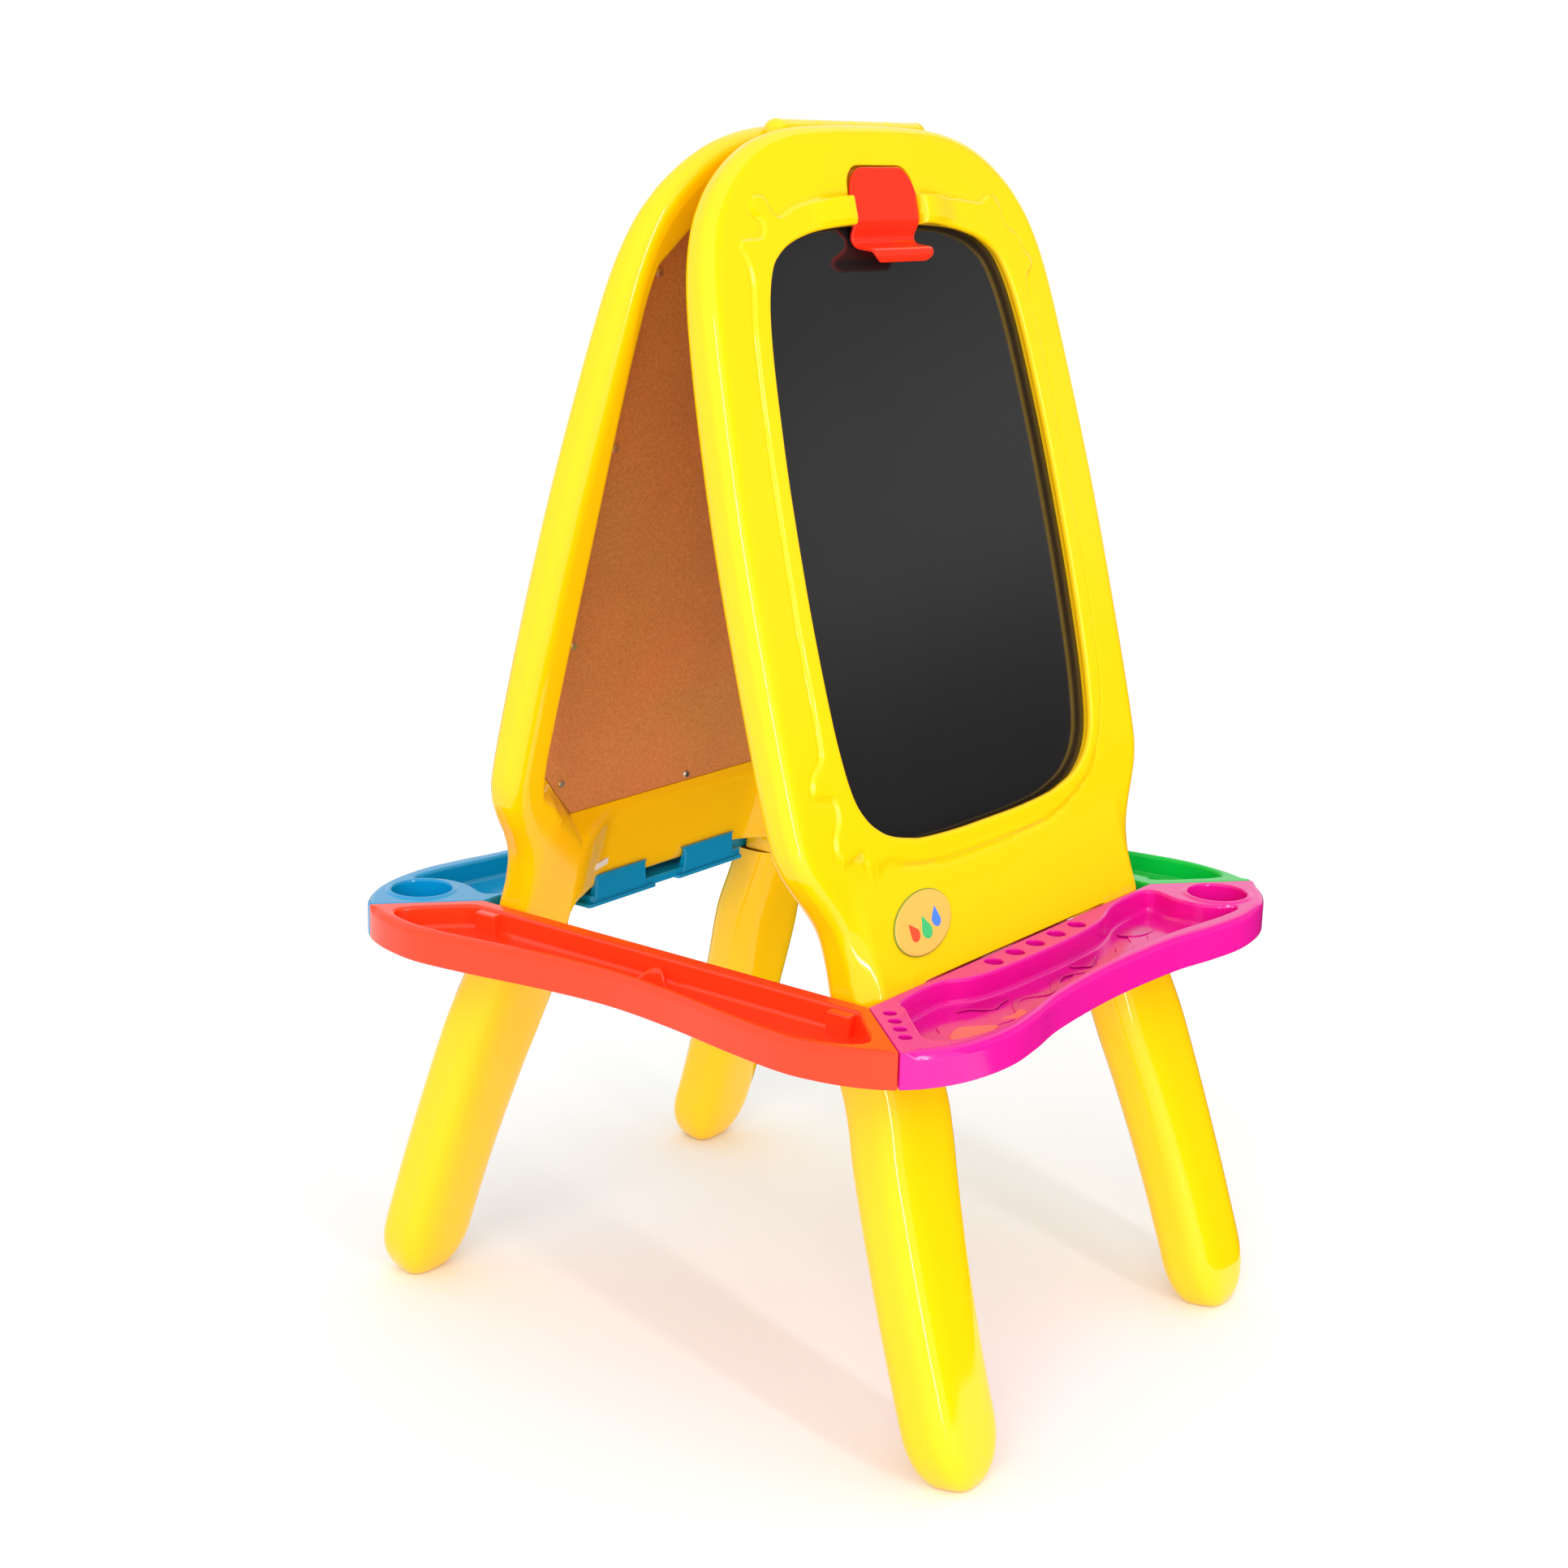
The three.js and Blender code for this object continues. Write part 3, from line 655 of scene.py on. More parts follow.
def frame_shell(name, place):
    """One closed sweep: lip, face, rounded rim, inner face and the board's seat."""
    rim, inner, seat = frame_loops()
    field = resample(spline(FIELD_LEFT + FIELD_RIGHT, 8, True), 420)
    rim_out, inner_out = outward(rim), outward(inner)
    deep = back_depth(rim[:, 0], rim[:, 1])
    # The outer rounding is small at the feet and under the crossbar, and grows above them.
    low = smooth((rim[:, 1] + 8) / 30)
    wide = np.maximum(smooth((np.abs(rim[:, 0]) - 165) / 30), smooth((rim[:, 1] - 100) / 50))
    round_in = 5 + wide * 11
    round_down = np.minimum(5 + 3 * wide + 4 * low, 0.42 * deep)
    back_r = np.minimum(8 + 10 * smooth((rim[:, 1] + 8) / 100), 0.46 * deep)
    rows = []

    def row(flat, n):
        rows.append(at_height(flat, n))

    # The lip is thin at the opening and undercut behind; its edge is rounded.
    for d, n in ((UNDERCUT, -LIP - 0.1), (UNDERCUT, -LIP * 0.7), (UNDERCUT - 0.3, -5.0),
                 (UNDERCUT - 1.0, -4.4), (1.5, -4.2), (0.45, -3.8), (0.0, -3.0)):
        row(inner + inner_out * d, n)
    lift_in = face_height(inner + inner_out * EDGE, field)
    drop_in = np.minimum(EDGE, lift_in + 2.6)
    for s, c in quarter(5):
        row(inner + inner_out * EDGE * c, lift_in - drop_in * s)
    # The face: close rows over the raised field, wider ones to the outer rounding.
    start, stop = inner + inner_out * EDGE, rim - rim_out * round_in[:, None]
    for w in list(np.linspace(0, 0.66, 27)[1:]) + list(np.linspace(0.66, 1, 8)[1:-1]):
        flat = start + (stop - start) * w
        row(flat, face_height(flat, field) * (1 - smooth((w - 0.8) / 0.2)) + flare(flat))
    for k, (s, c) in enumerate(quarter(10)):
        flat = rim - rim_out * (round_in * s)[:, None]
        row(flat, flare(flat) * (1 - k / 10) - round_down * c)
    for s, c in quarter(7):
        row(rim - rim_out * (back_r * c)[:, None], -deep + back_r * s)
    # The inner face swells up from the board's edge to the rim.
    back = rim - rim_out * back_r[:, None]
    for w in np.linspace(0, 1, 19)[1:]:
        flat = back + (seat - back) * w
        gap = np.hypot(*(flat - seat).T)
        depth = back_depth(flat[:, 0], flat[:, 1])
        rise = smooth(gap / np.interp(depth, (20, 38), (9, 24))) * (gap > 0)
        row(flat, -(BOARD_BACK + (depth - BOARD_BACK) * rise))
    row(seat, -LIP - 0.1)
    row((inner + inner_out * UNDERCUT + seat) / 2, -LIP - 0.1)
    body = level_feet(rings(name, rows, place, wrap=True), (TRAY_BOTTOM + 0.2) / 1000)
    # The clip's slot, whose upper end is round, and room for the other frame's knuckles.
    cut(body, slot_cutter(rounded_box(-49, 49, 615, 655, 3), -8.5, 12, 1, place))
    cut(body, slot_cutter(rounded_box(-49, 49, 636, 677.5, 20), -10.5, 12, 2, place))
    for k in OTHER_KNUCKLES:
        ends = [at_height(circle(0, HINGE_Z, HINGE_R + 1, 40), x) for x in knuckle_span(k)]
        cut(body, rings("room", ends, yz_place(place)))
    for k in OWN_KNUCKLES:
        x0, x1 = knuckle_span(k)
        join(body, knuckle("knuckle", place, x0 + 0.3, x1 - 0.3))
    return even_shading(body, 50)


def level_feet(obj, z):
    """Cuts a closed shell off level and closes it again."""
    bm = bmesh.new()
    bm.from_mesh(obj.data)
    everything = bm.verts[:] + bm.edges[:] + bm.faces[:]
    bmesh.ops.bisect_plane(bm, geom=everything, plane_co=(0, 0, z), plane_no=(0, 0, 1),
                           clear_inner=True)
    open_edges = [e for e in bm.edges if e.is_boundary]
    bmesh.ops.holes_fill(bm, edges=open_edges, sides=0)
    bmesh.ops.recalc_face_normals(bm, faces=bm.faces)
    bm.to_mesh(obj.data)
    bm.free()
    return obj


def yz_place(place):
    """For shapes given as (y, z, x): the row frame's own axes, turned as place turns."""
    flip = -1 if place(np.array([[1.0, 0, 0]]))[0, 0] < 0 else 1
    return lambda p: np.stack([flip * p[:, 2], flip * p[:, 0], p[:, 1]], -1)


def knuckle(name, place, x0, x1):
    """A hinge barrel with the web that carries it down on to the arch."""
    a = np.radians(np.linspace(-62, 205, 40))
    barrel = np.column_stack([HINGE_R * np.cos(a), HINGE_Z + HINGE_R * np.sin(a)])
    web = [(-17, 1068), (-20.5, 1062), (-13, 1056), (-4.6, 1052)]
    outline = resample(np.vstack([barrel, web]), 64)
    return rings(name, slab_loops(outline, x0, x1, 1.2, 1.2, 4), yz_place(place))


for side, body, turn in SIDES:
    shell = frame_shell(f"{side}_frame_shell", turn(front_world))
    finish_piece(shell, body, "frame_yellow", YELLOW, f"{side}_frame")

# ---- legs
LEG_OUT = [(238, -28), (239, -62), (239, -80), (243, -105), (248, -130), (252, -170),
           (255, -210), (257.5, -250), (259.5, -290), (261, -345)]
LEG_IN = [(148, -28), (144, -62), (143, -97), (147, -130), (155, -170), (161.5, -210),
          (167, -250), (171, -290), (174.5, -345)]


LEG_TOP, FOOT_START, FOOT_LENGTH = -34, -355, 60.0
# How far the round foot draws in, sideways and from front to back.
FOOT_IN_X, FOOT_IN_N = 43, 24


def leg_shell(name, place, side):
    out_line, in_line = spline(LEG_OUT, 16), spline(LEG_IN, 16)
    rows = []
    count = 72
    a = np.linspace(0, 2 * math.pi, count, endpoint=False)
    boxy = 0.62
    cx = np.sign(np.cos(a)) * np.abs(np.cos(a)) ** boxy
    cn = np.sign(np.sin(a)) * np.abs(np.sin(a)) ** boxy

    def ring(v, dx, dn):
        """A section at v, drawn in by dx and dn; the leg leans out towards its foot."""
        xo = np.interp(-v, -out_line[:, 1], out_line[:, 0])
        xi = np.interp(-v, -in_line[:, 1], in_line[:, 0])
        lean = 0.048 * max(0.0, -v - 20) * smooth((-v - 50) / 60)
        x = (xo + xi) / 2 + cx * ((xo - xi) / 2 - dx)
        n = (PROUD - DEEP) / 2 + lean + cn * ((DEEP + PROUD) / 2 - dn)
        rows.append(np.column_stack([x, np.full(count, v), n]))

    edge = 2.0
    for s, _ in quarter(6):
        ring(LEG_TOP - edge * s, edge * s, edge * s)
    rows_top = len(rows)
    for v in np.linspace(-48, FOOT_START, 44):
        ring(v, 0, 0)
    for s, c in quarter(14)[1:]:
        ring(FOOT_START - FOOT_LENGTH * (1 - s), FOOT_IN_X * c, FOOT_IN_N * c**1.3)
    P = np.array(rows)
    # Level top under the trays, flat foot on the floor.
    v_top = (TRAY_BOTTOM - 0.4 - TRAY_TOP - P[:rows_top, :, 2] * SA) / CA
    P[:rows_top, :, 1] += v_top - LEG_TOP
    P[..., 1] = np.maximum(P[..., 1], (0 - TRAY_TOP - P[..., 2] * SA) / CA)
    P[..., 0] *= side
    return even_shading(rings(name, P, place), 60)


for side, body, turn in SIDES:
    for tag, s in (("a", -1), ("b", 1)):
        shell = leg_shell(f"{side}_leg_{tag}_shell", turn(front_world), s)
        finish_piece(shell, body, "leg_yellow", YELLOW, f"{side}_leg_{tag}")

# ---- trays
# Plan of the tray ring, one quarter, from the middle of the front to the middle of a side.
RING = [
    (0, 311), (95, 316), (150, 326), (195, 331), (240, 325.5), (275, 311), (300, 290),
    (316, 262), (325, 228), (327, 195), (320, 140), (308, 70), (302, 0),
]
SEAM_PLAIN = [(-229, -214.5), (-297, -292)]
SEAM_CUP = [(229, -214.5), (306, -283)]
FIT = 0.35  # gap from a tray's end to the seam
CRAYONS = dict(r=8.3, xs=(-64, -30, 3, 38, 73), y=-228, deep=17)
PENCILS = dict(r=5.6, first=(-229, -235.5), last=(-266, -276), count=4, deep=15)
TABS = ((-93, -12), (40, 118))
BOSSES = (-201, 190)
# The side tray's fin: height, reach each way along it and half width.
FIN_AT = (-259, -16)
FIN = ((371, 24, 11, 5), (379, 18, 9, 4.2), (385, 11, 7, 3.4), (388, 6.5, 5, 2.6),
       (389.6, 3.2, 3, 1.6), (390, 1.2, 1.2, 0.8))


def ring_plan():
    q = np.array(RING, float)
    back = q[::-1]
    loop = np.vstack([
        q * [1, -1], back[1:], (q * [-1, 1])[1:], (back * [-1, -1])[1:-1],
    ])
    return spline(loop, 14, True)


def crossing(loop, a, b):
    """Where the line from a through b leaves a closed loop."""
    a, b = np.array(a, float), np.array(b, float)
    d = (b - a) / np.linalg.norm(b - a)
    side = (loop - a) @ np.array([-d[1], d[0]])
    along = (loop - a) @ d
    for i in range(len(loop)):
        j = (i + 1) % len(loop)
        if side[i] * side[j] <= 0 and along[i] > 0:
            t = side[i] / (side[i] - side[j] + 1e-12)
            return i, loop[i] + (loop[j] - loop[i]) * t
    raise ValueError("the seam misses the ring")


def rounded(points, radii, per=6):
    """A polygon with some corners rounded; a radius of 0 leaves the point alone."""
    out, marks = [], []
    n = len(points)
    for i in range(n):
        p, r = points[i], radii[i]
        if not r:
            out.append(p)
            marks.append(i)
            continue
        a, b = points[i - 1] - p, points[(i + 1) % n] - p
        a, b = a / np.linalg.norm(a), b / np.linalg.norm(b)
        half = math.acos(np.clip(a @ b, -1, 1)) / 2
        reach = r / math.tan(half)
        start, end = p + a * reach, p + b * reach
        mid = p + (a + b) / np.linalg.norm(a + b) * (r / math.sin(half))
        u, w = start - mid, end - mid
        turn = math.acos(np.clip(u @ w / r**2, -1, 1))
        for k in range(per + 1):
            f = k / per
            out.append(mid + (u * math.sin((1 - f) * turn) + w * math.sin(f * turn))
                       / math.sin(turn))
            marks.append(i)
    return np.array(out), np.array(marks)


def between(p, q, step=5.0):
    n = max(2, int(np.linalg.norm(np.subtract(q, p)) / step))
    return [np.array(p) + (np.array(q) - np.array(p)) * k / n for k in range(1, n)]


def shifted(a, b, by):
    """A line moved sideways, to its left for a positive distance."""
    a, b = np.array(a, float), np.array(b, float)
    d = (b - a) / np.linalg.norm(b - a)
    n = np.array([-d[1], d[0]]) * by
    return a + n, b + n


def sector(first, last, inner):
    """Plan of one tray, anticlockwise, and how round its top edge is at each point."""
    ring = ring_plan()
    i, p = crossing(ring, *first)
    j, q = crossing(ring, *last)
    k = (i + 1) % len(ring)
    rim = []
    while k != (j + 1) % len(ring):
        if min(np.linalg.norm(ring[k] - p), np.linalg.norm(ring[k] - q)) > 3:
            rim.append(ring[k])
        k = (k + 1) % len(ring)
    corners = [first[0], *between(first[0], p), p, *rim, q, *between(q, last[0]), last[0],
               *inner]
    corners = [np.array(c, float) for c in corners]
    n_seam = len(between(first[0], p))
    radii = [0.0] * len(corners)
    at_p, at_q = n_seam + 1, n_seam + 2 + len(rim)
    radii[0] = radii[at_q + len(between(q, last[0])) + 1] = 1.5
    radii[at_p] = radii[at_q] = 2.2
    plan, marks = rounded(corners, radii)
    s = lengths(plan)
    on = np.where((marks > at_p) & (marks < at_q))[0]
    from_end = np.minimum(s - s[on[0]], s[on[-1]] - s)
    edge = np.where((marks >= at_p) & (marks <= at_q),
                    1.3 + 6.2 * smooth((from_end + 2) / 12), 1.3)
    return plan, edge


def tray_block(name, plan, edge, place):
    foot = 1.2
    loops = [at_height(inset(plan, foot * s), TRAY_BOTTOM + foot * c) for s, c in quarter(3)]
    loops += [at_height(inset(plan, edge * c), TRAY_TOP - edge * s) for s, c in quarter(9)]
    return rings(name, loops, place)


def soft_inset(loop, d):
    """An inset that eases its own corners, so that it never crosses itself."""
    if d <= 0:
        return inset(loop, d)
    p = loop
    steps = max(1, int(math.ceil(d / 0.5)))
    for _ in range(steps):
        p = inset(p, d / steps)
        p = p + 0.22 * ((np.roll(p, 1, 0) + np.roll(p, -1, 0)) / 2 - p)
    return p


def hollow(points, place):
    """Cutter for a tray's hollow: a filleted floor, drafted walls and a flared mouth."""
    mouth, fillet, draft = 3.2, 5.0, 1.2
    plan = anticlockwise(resample(spline(points, 10, True), 420))
    loops = [at_height(soft_inset(plan, draft + fillet * s), TRAY_FLOOR + fillet * c)
             for s, c in quarter(6)]
    for a in np.radians(np.linspace(0, 80, 7)):
        d = -mouth * (1 - math.cos(a))
        loops.append(at_height(inset(plan, d), TRAY_TOP - mouth * (1 - math.sin(a))))
    loops.append(at_height(inset(plan, d - 0.9), TRAY_TOP + 3))
    return rings("hollow", loops, place)


def lathe(name, profile, x, y, place, n=72):
    """A turned solid from (radius, height) pairs, both ends closed."""
    return rings(name, [at_height(circle(x, y, max(r, 0.02), n), z) for r, z in profile], place)


def hole(x, y, r, deep, place, soft=1.1, n=48):
    z0, z1 = TRAY_TOP - deep, TRAY_TOP
    a = np.radians([0, 20, 40, 60, 78])
    mouth = [(r + soft * (1 - math.cos(t)), z1 - soft + soft * math.sin(t)) for t in a]
    foot = [(r - 0.8, z0), (r - 0.3, z0 + 0.4), (r - 0.1, z0 + 1.2)]
    return lathe("hole", foot + mouth + [(mouth[-1][0] + 0.8, z1 + 3)], x, y, place, n)


# The hollow of the magenta and blue trays: inner side, round the cup, outer side, seam end.
FRONT_HOLLOW = [
    (-205, -229.5), (-190, -225.5), (-170, -223.5), (-150, -223), (-133, -226), (-118, -234),
    (-100, -240), (-67, -243.5), (-19, -245), (35, -245), (78, -242), (98, -238.5),
    (114, -234), (130, -228), (148, -223.5), (172, -221), (196, -221), (208, -224),
    (211.5, -231), (208, -243), (203, -256), (201.5, -270), (203, -284), (208, -295),
    (217, -303.5), (222, -308.5), (217, -312.5), (205, -314), (180, -312), (150, -307.5),
    (120, -303), (85, -299.5), (45, -298.5), (0, -298.5), (-45, -301), (-80, -304.5),
    (-115, -310), (-145, -314.5), (-175, -317.5), (-200, -317.5), (-222, -314),
    (-241, -307), (-251, -300.5), (-255, -293), (-253, -284), (-243, -272.5),
    (-228, -256.5), (-213, -241.5), (-208, -235.5),
]
# The hollow of the side trays, from the near end's inner corner round the rim and back.
SIDE_HOLLOW = [
    (-244, -214), (-255, -226), (-270, -241), (-283, -254), (-293, -259), (-303, -254),
    (-311, -241), (-316, -222), (-317.5, -200), (-316, -175), (-311.5, -140),
    (-305, -100), (-299, -60), (-295.5, -25), (-294.5, 5), (-296, 40), (-300.5, 80),
    (-306, 115), (-311.5, 150), (-316, 185), (-316.5, 210), (-312.5, 235), (-305.5, 250),
    (-297, 253), (-285, 247), (-270, 234.5), (-256, 222), (-246, 211), (-243.5, 198),
    (-243.5, 150), (-243.5, 100), (-243.5, 50), (-243.5, 0), (-243.5, -50), (-243.5, -100),
    (-243.5, -150), (-243.5, -190),
]
# Poured patches that stand slightly proud of the hollow's floor.
PUDDLE = [
    (-238, -293), (-232, -280), (-222, -276), (-212, -264), (-196, -262), (-186, -252),
    (-166, -254), (-150, -262), (-128, -262), (-112, -268), (-84, -263), (-66, -270),
    (-38, -266), (-16, -273), (12, -266), (34, -271), (52, -263), (78, -266), (92, -258),
    (112, -262), (128, -250), (150, -248), (168, -240), (186, -244), (190, -258),
    (184, -272), (188, -286), (176, -298), (150, -299), (128, -289), (104, -292),
    (84, -285), (58, -289), (30, -284), (8, -290), (-24, -285), (-46, -292), (-72, -287),
    (-96, -297), (-124, -296), (-146, -305), (-176, -308), (-204, -306), (-224, -303),
]
POOLS = [
    [(-190, -284), (-176, -276), (-156, -280), (-138, -276), (-120, -280), (-112, -287),
     (-128, -291), (-150, -288), (-166, -294), (-182, -292)],
    [(96, -274), (110, -268), (130, -270), (140, -263), (154, -262), (160, -270),
     (150, -279), (132, -278), (118, -282), (104, -281)],
    [(-60, -278), (-44, -274), (-24, -278), (-8, -277), (-2, -281), (-20, -283),
     (-44, -281)],
]


def patch(name, points, low, high, place, edge=0.8):
    """A thin pad from low to high above the hollow's floor, with a rounded upper edge."""
    plan = anticlockwise(resample(spline(points, 10, True), 260))
    loops = [at_height(plan, TRAY_FLOOR + low)]
    loops += [at_height(soft_inset(plan, edge * c + 0.01), TRAY_FLOOR + high - edge * s)
              for s, c in quarter(4)]
    return rings(name, loops, place)


def block(x0, x1, y0, y1, z0, z1, r, place, corner=3.0):
    plan = rounded_box(x0, x1, y0, y1, corner, 6)
    return rings("block", slab_loops(plan, z0, z1, r, r, 4), place)


def tray_tongue(place):
    """The flange under the crossbar and the two tabs that rise behind it."""
    crossbar = 20.6  # depth of the crossbar's inner face, with a gap
    thinnest = 1.2
    pieces = [block(-104, 120, -222, -180, 371, 379, 1.2, place)]
    for x0, x1 in TABS:
        # A tab is upright on its inner face and leans with the frame on the other.
        rows = []
        for z, side in ((369, 7), (372, 4.5), (376, 2), (382, 1), (392, 0), (395.5, 0.8),
                        (397.4, 2.2), (398, 4.5)):
            v = (z - TRAY_TOP + crossbar * SA) / CA
            y0 = FACE_Y + v * SA + crossbar * CA
            y1 = max(-179.0 - max(0.0, z - TRAY_TOP) * 0.35, y0 + thinnest)
            corner = min(1.4, (y1 - y0) / 2 - 0.05)
            rows.append(at_height(
                rounded_box(x0 - side + 4, x1 + side - 4, y0, y1, corner, 5), z))
        pieces.append(rings("tab", rows, place))
        pieces.append(block(x0 - 9, x1 + 9, -200, -176.5, 369.5, 373, 0.9, place, 2.0))
    return join(*pieces)


def cup_tray(name, place):
    a, b = shifted(*SEAM_PLAIN, FIT)
    c, d = shifted(*SEAM_CUP, -FIT)
    plan, edge = sector((a, b), (c, d), between(c, a, 6.0))
    body = tray_block(name, plan, edge, place)
    cut(body, hollow(FRONT_HOLLOW, place))
    x, y, r, rim = CUP["x"], CUP["y"], CUP["r"], CUP["rim"]
    lip = [(rim + 2.5, TRAY_TOP - 2), (rim + 1.6, TRAY_TOP - 0.1), (rim - 0.2, TRAY_TOP + 0.35),
           (rim - 1.4, TRAY_TOP + 1.2), (rim - 2.8, TRAY_TOP + 1.7), (rim - 4.4, TRAY_TOP + 1.6),
           (rim - 5.4, TRAY_TOP + 1.0), (rim - 6.2, TRAY_TOP - 0.6), (r - 4, TRAY_TOP - 3)]
    cut(body, lathe("lip", lip, x, y, place, 96), "UNION")
    z0 = TRAY_TOP - CUP["deep"]
    bore = [(r - 6, z0), (r - 3.6, z0 + 0.7), (r - 2, z0 + 2.4), (r - 1.5, z0 + 5),
            (r - 0.3, TRAY_TOP - 1.2), (r + 0.2, TRAY_TOP + 0.8), (r + 1.3, TRAY_TOP + 1.9),
            (r + 2.2, TRAY_TOP + 5)]
    cut(body, lathe("bore", bore, x, y, place, 96))
    holes = [hole(x, CRAYONS["y"], CRAYONS["r"], CRAYONS["deep"], place) for x in CRAYONS["xs"]]
    for x, y in np.linspace(PENCILS["first"], PENCILS["last"], PENCILS["count"]):
        holes.append(hole(x, y, PENCILS["r"], PENCILS["deep"], place, 0.9, 36))
    cut(body, join(*holes))
    join(body, patch("puddle", PUDDLE, -0.3, 1.1, place))
    for pool in POOLS:
        join(body, patch("pool", pool, 0.5, 1.8, place, 0.6))
    join(body, tray_tongue(place))
    return even_shading(body, 45)


def side_tray(name, place):
    a, b = shifted(*SEAM_PLAIN, -FIT)
    c, d = shifted(*[(-x, -y) for x, y in SEAM_CUP], FIT)
    plan, edge = sector((c, d), (a, b), between(a, c, 6.0))
    body = tray_block(name, plan, edge, place)
    cut(body, hollow(SIDE_HOLLOW, place))
    for y in BOSSES:
        cut(body, block(-254, -238, y - 12, y + 12, 371, TRAY_TOP - 2.2, 1.8, place, 2.6),
            "UNION")
    rows = []
    for z, left, right, wide in FIN:
        plan = rounded_box(-left, right, -wide, wide, wide * 0.9, 4)
        x = FIN_AT[0] + plan[:, 0] * 0.6 + plan[:, 1] * 0.8
        y = FIN_AT[1] - plan[:, 0] * 0.8 + plan[:, 1] * 0.6
        rows.append(np.column_stack([x, y, np.full(len(plan), z)]))
    join(body, rings("fin", rows, place))
    return even_shading(body, 45)


# Patches painted on the front tray's floor. The orange-pink ones are painted reflection, standing
# in for what its glossy floor reflects.
REFLECTION_PATCHES = [
    [(-203, -277), (-188, -269), (-176, -268), (-166, -274), (-157, -281), (-151, -290),
     (-165, -292), (-182, -290), (-197, -286)],
    [(-135, -282), (-121, -284), (-110, -282), (-105, -282), (-108, -290), (-120, -294),
     (-128, -291)],
]
# Painted shade: darker magenta patches where the glossy floor reflects less.
SHADE_PATCHES = [
    [(-146, -244), (-130, -244), (-109, -247), (-93, -252), (-87, -259), (-104, -262),
     (-120, -265), (-129, -255), (-133, -250)],
    [(20, -254), (36, -252), (52, -253), (59, -257), (42, -265), (31, -269), (26, -264),
     (20, -260)],
    [(125, -241), (144, -238), (157, -240), (166, -248), (157, -260), (141, -260), (130, -254)],
    [(-113, -281), (-101, -271), (-88, -265), (-77, -265), (-67, -270), (-56, -276), (-45, -274),
     (-28, -264), (-12, -259), (-1, -261), (10, -266), (17, -272), (13, -274), (1, -268),
     (-9, -266), (-21, -269), (-34, -277), (-47, -280), (-60, -280), (-71, -274), (-81, -270),
     (-92, -272), (-103, -278), (-111, -283)],
]


def tray_pieces():
    front = cup_tray("front_tray_shell", plain_world)
    finish_piece(front, "front_side", "tray_magenta", MAGENTA, "front_tray")
    for tag, pools, mat in (("orange", REFLECTION_PATCHES, PAINTED_REFLECTION), ("dark", SHADE_PATCHES, PAINTED_SHADE)):
        for i, pool in enumerate(pools):
            # Thin pads that carry the painted reflection and painted shade patches.
            painted_patch = patch(f"film_{tag}_{i + 1}", pool, 1.0, 2.1, plain_world, 0.5)
            finish_piece(even_shading(painted_patch), "front_side", "tray_magenta", mat)
    rear = cup_tray("rear_tray_shell", turned(plain_world))
    finish_piece(rear, "rear_side", "tray_blue", BLUE, "rear_tray")
    left = side_tray("left_tray_shell", plain_world)
    finish_piece(left, "left_tray", "tray_red", RED, "left_tray")
    right = side_tray("right_tray_shell", turned(plain_world))
    finish_piece(right, "right_tray", "tray_green", GREEN, "right_tray")


tray_pieces()

# ---- paper clips
# Side view of the lever's outer surface, (up the slope, out of the face), and half widths.
LEVER = [
    (675.5, 1.6), (673.8, 2.2), (664, 2.5), (653, 2.7), (639, 2.5), (630.5, 2.0), (624.8, -0.6),
    (619, -4.6), (614.4, -5.3), (610.6, -2.6), (607.8, 4.0), (605.2, 10.8), (602.6, 13.3),
    (598.7, 14.0), (595.2, 12.6), (592.6, 9.6),
]
LEVER_HALF = [
    (592.6, 33), (593.6, 37), (595.2, 40), (598.7, 42.6), (602.6, 43.8), (607.8, 44.2),
    (612, 45), (619, 46.2), (627, 47.4), (640, 48), (652, 48), (657, 46.8), (663, 44),
    (668, 40.5), (671.5, 36.5), (674.0, 32), (675.5, 28),
]


TUBE_AT, TUBE_HALF, TUBE_R = 33, 13, 3.2


def lever(name, place):
    """A bent plate of even thickness with two short tubes on its pin."""
    count, thick = 110, 3.4
    path = resample(spline(LEVER, 10), count, False)
    tang = np.gradient(path, axis=0)
    tang /= np.linalg.norm(tang, axis=1)[:, None]
    out = np.column_stack([tang[:, 1], -tang[:, 0]])
    mid = path - out * thick / 2
    half = np.array(LEVER_HALF)
    wide = np.interp(path[:, 0], half[:, 0], half[:, 1])
    loops = []
    for i in range(count):
        from_end = min(i, count - 1 - i)
        t = thick / 2 * math.sqrt(1 - (1 - min(1, (from_end + 0.6) / 2)) ** 2)
        plan = rounded_box(-wide[i], wide[i], -t, t, t * 0.72, 4)
        v = mid[i, 0] + out[i, 0] * plan[:, 1]
        n = mid[i, 1] + out[i, 1] * plan[:, 1]
        loops.append(np.column_stack([plan[:, 0], v, n]))
    body = rings(name, loops, place)
    ring = circle(CLIP_V, CLIP_N, TUBE_R, 24)
    for mid_x in (-TUBE_AT, TUBE_AT):
        ends = (mid_x - TUBE_HALF, mid_x + TUBE_HALF)
        tube = [np.column_stack([np.full(24, x), ring]) for x in ends]
        join(body, rings("tube", tube, place))
    return even_shading(body, 40)


for side, body, turn in SIDES:
    piece = lever(f"{side}_clip_plate", turn(front_world))
    finish_piece(piece, f"{side}_clip", "clip_red", CLIP_RED, f"{side}_clip_lever")


# ---- hinge ends
CAP_R, CAP_LONG, CAP_GAP = 11.4, 11.2, 0.4


def hinge_end(name, s):
    """A domed cap over one end of the hinge."""
    turn = np.radians(np.linspace(8, 90, 14))
    loops = []
    for a in turn:
        x = s * (HINGE_HALF + CAP_GAP + CAP_LONG * (math.sin(a) - math.sin(turn[0])))
        loops.append(at_height(circle(0, HINGE_Z, max(CAP_R * math.cos(a), 0.05), 48), x))
    return even_shading(rings(name, loops, yz_place(plain_world)), 50)


for tag, s in (("left", -1), ("right", 1)):
    finish_piece(hinge_end(f"hinge_end_{tag}", s), "front_side", "cap_yellow", YELLOW,
                 f"hinge_cap_{tag}")


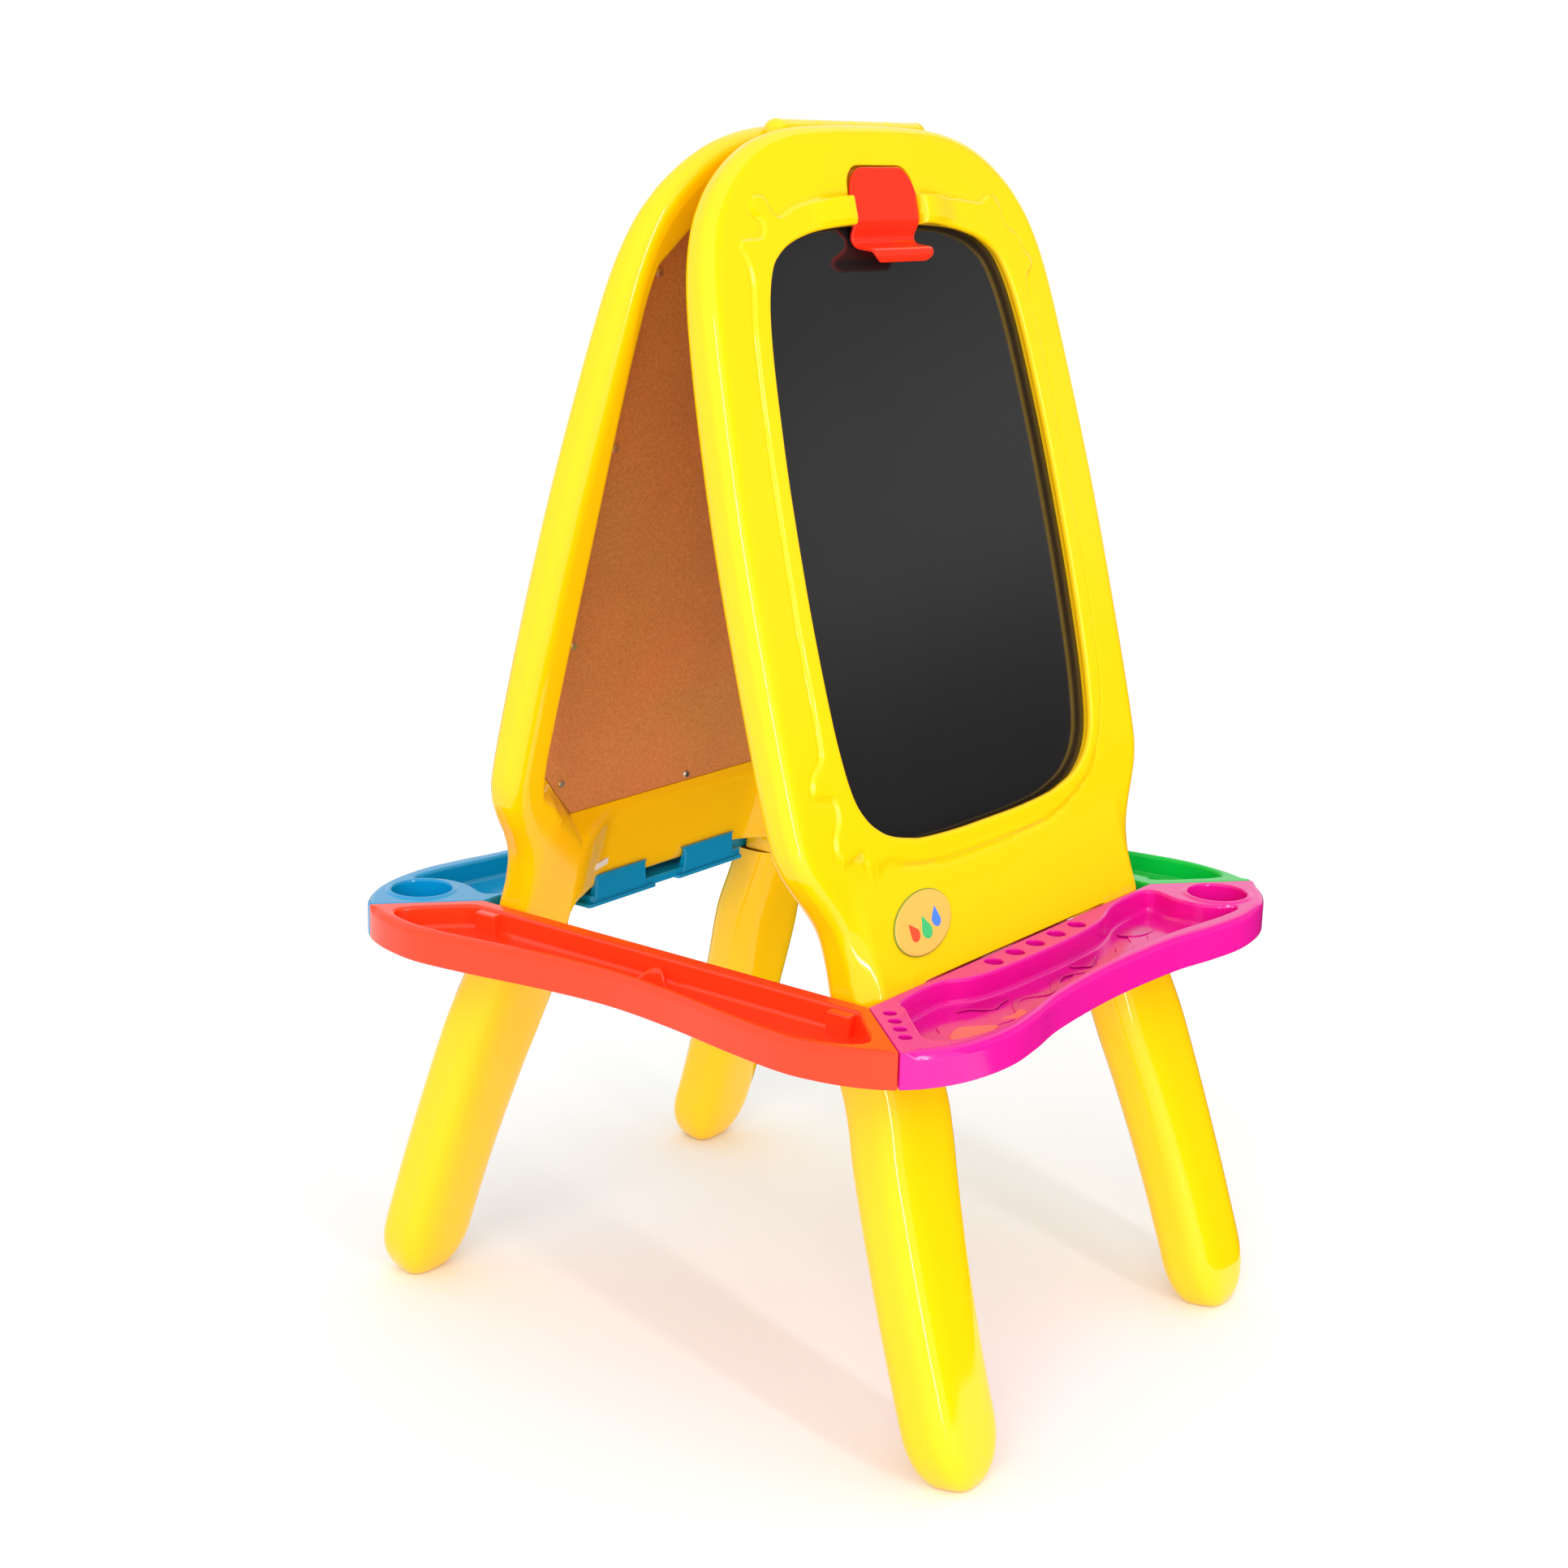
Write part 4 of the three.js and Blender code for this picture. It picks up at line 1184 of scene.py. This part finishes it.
# ---- badges
BADGE_X, BADGE_V, BADGE_TURN = -132, 45.0, math.radians(10)
BADGE_WIDE, BADGE_TALL = 43, 26


def badge_place(place):
    """Places a shape drawn on the badge's own face, which leans as the crossbar swells."""
    lean = math.atan(FLARE_POWER * FLARE / FLARE_TOP)
    rise = FLARE * ((FLARE_TOP - BADGE_V) / FLARE_TOP) ** FLARE_POWER + 0.3
    turn = BADGE_TURN

    def put(p):
        x = p[:, 0] * math.cos(turn) - p[:, 1] * math.sin(turn) + BADGE_X
        u = p[:, 0] * math.sin(turn) + p[:, 1] * math.cos(turn)
        v = BADGE_V + u * math.cos(lean) + p[:, 2] * math.sin(lean)
        n = rise - u * math.sin(lean) + p[:, 2] * math.cos(lean)
        return place(np.column_stack([x, v, n]))

    return put


def oval(a, b, n=96):
    t = np.linspace(0, 2 * math.pi, n, endpoint=False)
    return np.column_stack([a * np.cos(t), b * np.sin(t)])


def drop(x, y, size, lean):
    """A paint drop: round below, drawn to a point above."""
    ball = oval(1, 1, 48)
    above = ball[:, 1] > 0
    px = size * ball[:, 0] * np.where(above, 1 - 0.75 * ball[:, 1], 1)
    py = size * ball[:, 1] * np.where(above, 1.7, 1)
    c, s = math.cos(lean), math.sin(lean)
    return np.column_stack([x + px * c - py * s, y + px * s + py * c])


DROPS = (
    ("red", drop(-17, -4, 6.5, 0.35), (0.85, 0.08, 0.03)),
    ("green", drop(0, -7, 7.5, 0.0), (0.06, 0.5, 0.16)),
    ("blue", drop(17, -4, 6.5, -0.35), (0.07, 0.22, 0.75)),
)


def badges():
    rim = plastic("badge_rim", (0.20, 0.30, 0.03), 0.35, 0.2)
    inks = {tag: plastic(f"badge_{tag}", colour, 0.4, 0.1) for tag, _, colour in DROPS}
    for side, body, turn in SIDES:
        put = badge_place(turn(front_world))
        ring = slab_loops(oval(BADGE_WIDE, BADGE_TALL), 0.0, 1.2, 0.6, 0.1, 4)
        ring = even_shading(rings(f"{side}_badge_rim", ring, put))
        finish_piece(ring, body, "badge_print", rim, f"{side}_badge")
        plate = slab_loops(oval(BADGE_WIDE - 1, BADGE_TALL - 1), 0.4, 2.0, 1.1, 0.1, 6)
        plate = even_shading(rings(f"{side}_badge_plate", plate, put))
        finish_piece(plate, body, "badge_print", BADGE)
        for tag, plan, _ in DROPS:
            loops = slab_loops(plan, 1.8, 2.25, 0.2, 0.1, 3)
            one = even_shading(rings(f"{side}_badge_{tag}", loops, put))
            finish_piece(one, body, "badge_print", inks[tag])


badges()


def blank_label():
    """A small white sticker on the inside of the rear crossbar."""
    plan = rounded_box(98, 121, 18, 25, 0.8, 4)
    depth = back_depth(plan[:, 0], plan[:, 1])
    loops = [at_height(plan, -depth + 0.4), at_height(plan, -depth - 0.5)]
    paper = plastic("label_paper", (0.86, 0.84, 0.80), 0.6, 0.3)
    piece = rings("rear_label", loops, turned(front_world))
    finish_piece(even_shading(piece), "rear_side", "badge_print", paper)


blank_label()

# ---- materials on the CAD nodes that stay
KEEP = {
    "chalkboard": SLATE, "whiteboard": WHITE, "backing": HARDBOARD, "screw": STEEL,
    "pin": STEEL, "spring": STEEL,
}
for node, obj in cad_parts.items():
    for key, mat in KEEP.items():
        if key in node:
            obj.data.materials.clear()
            obj.data.materials.append(mat)
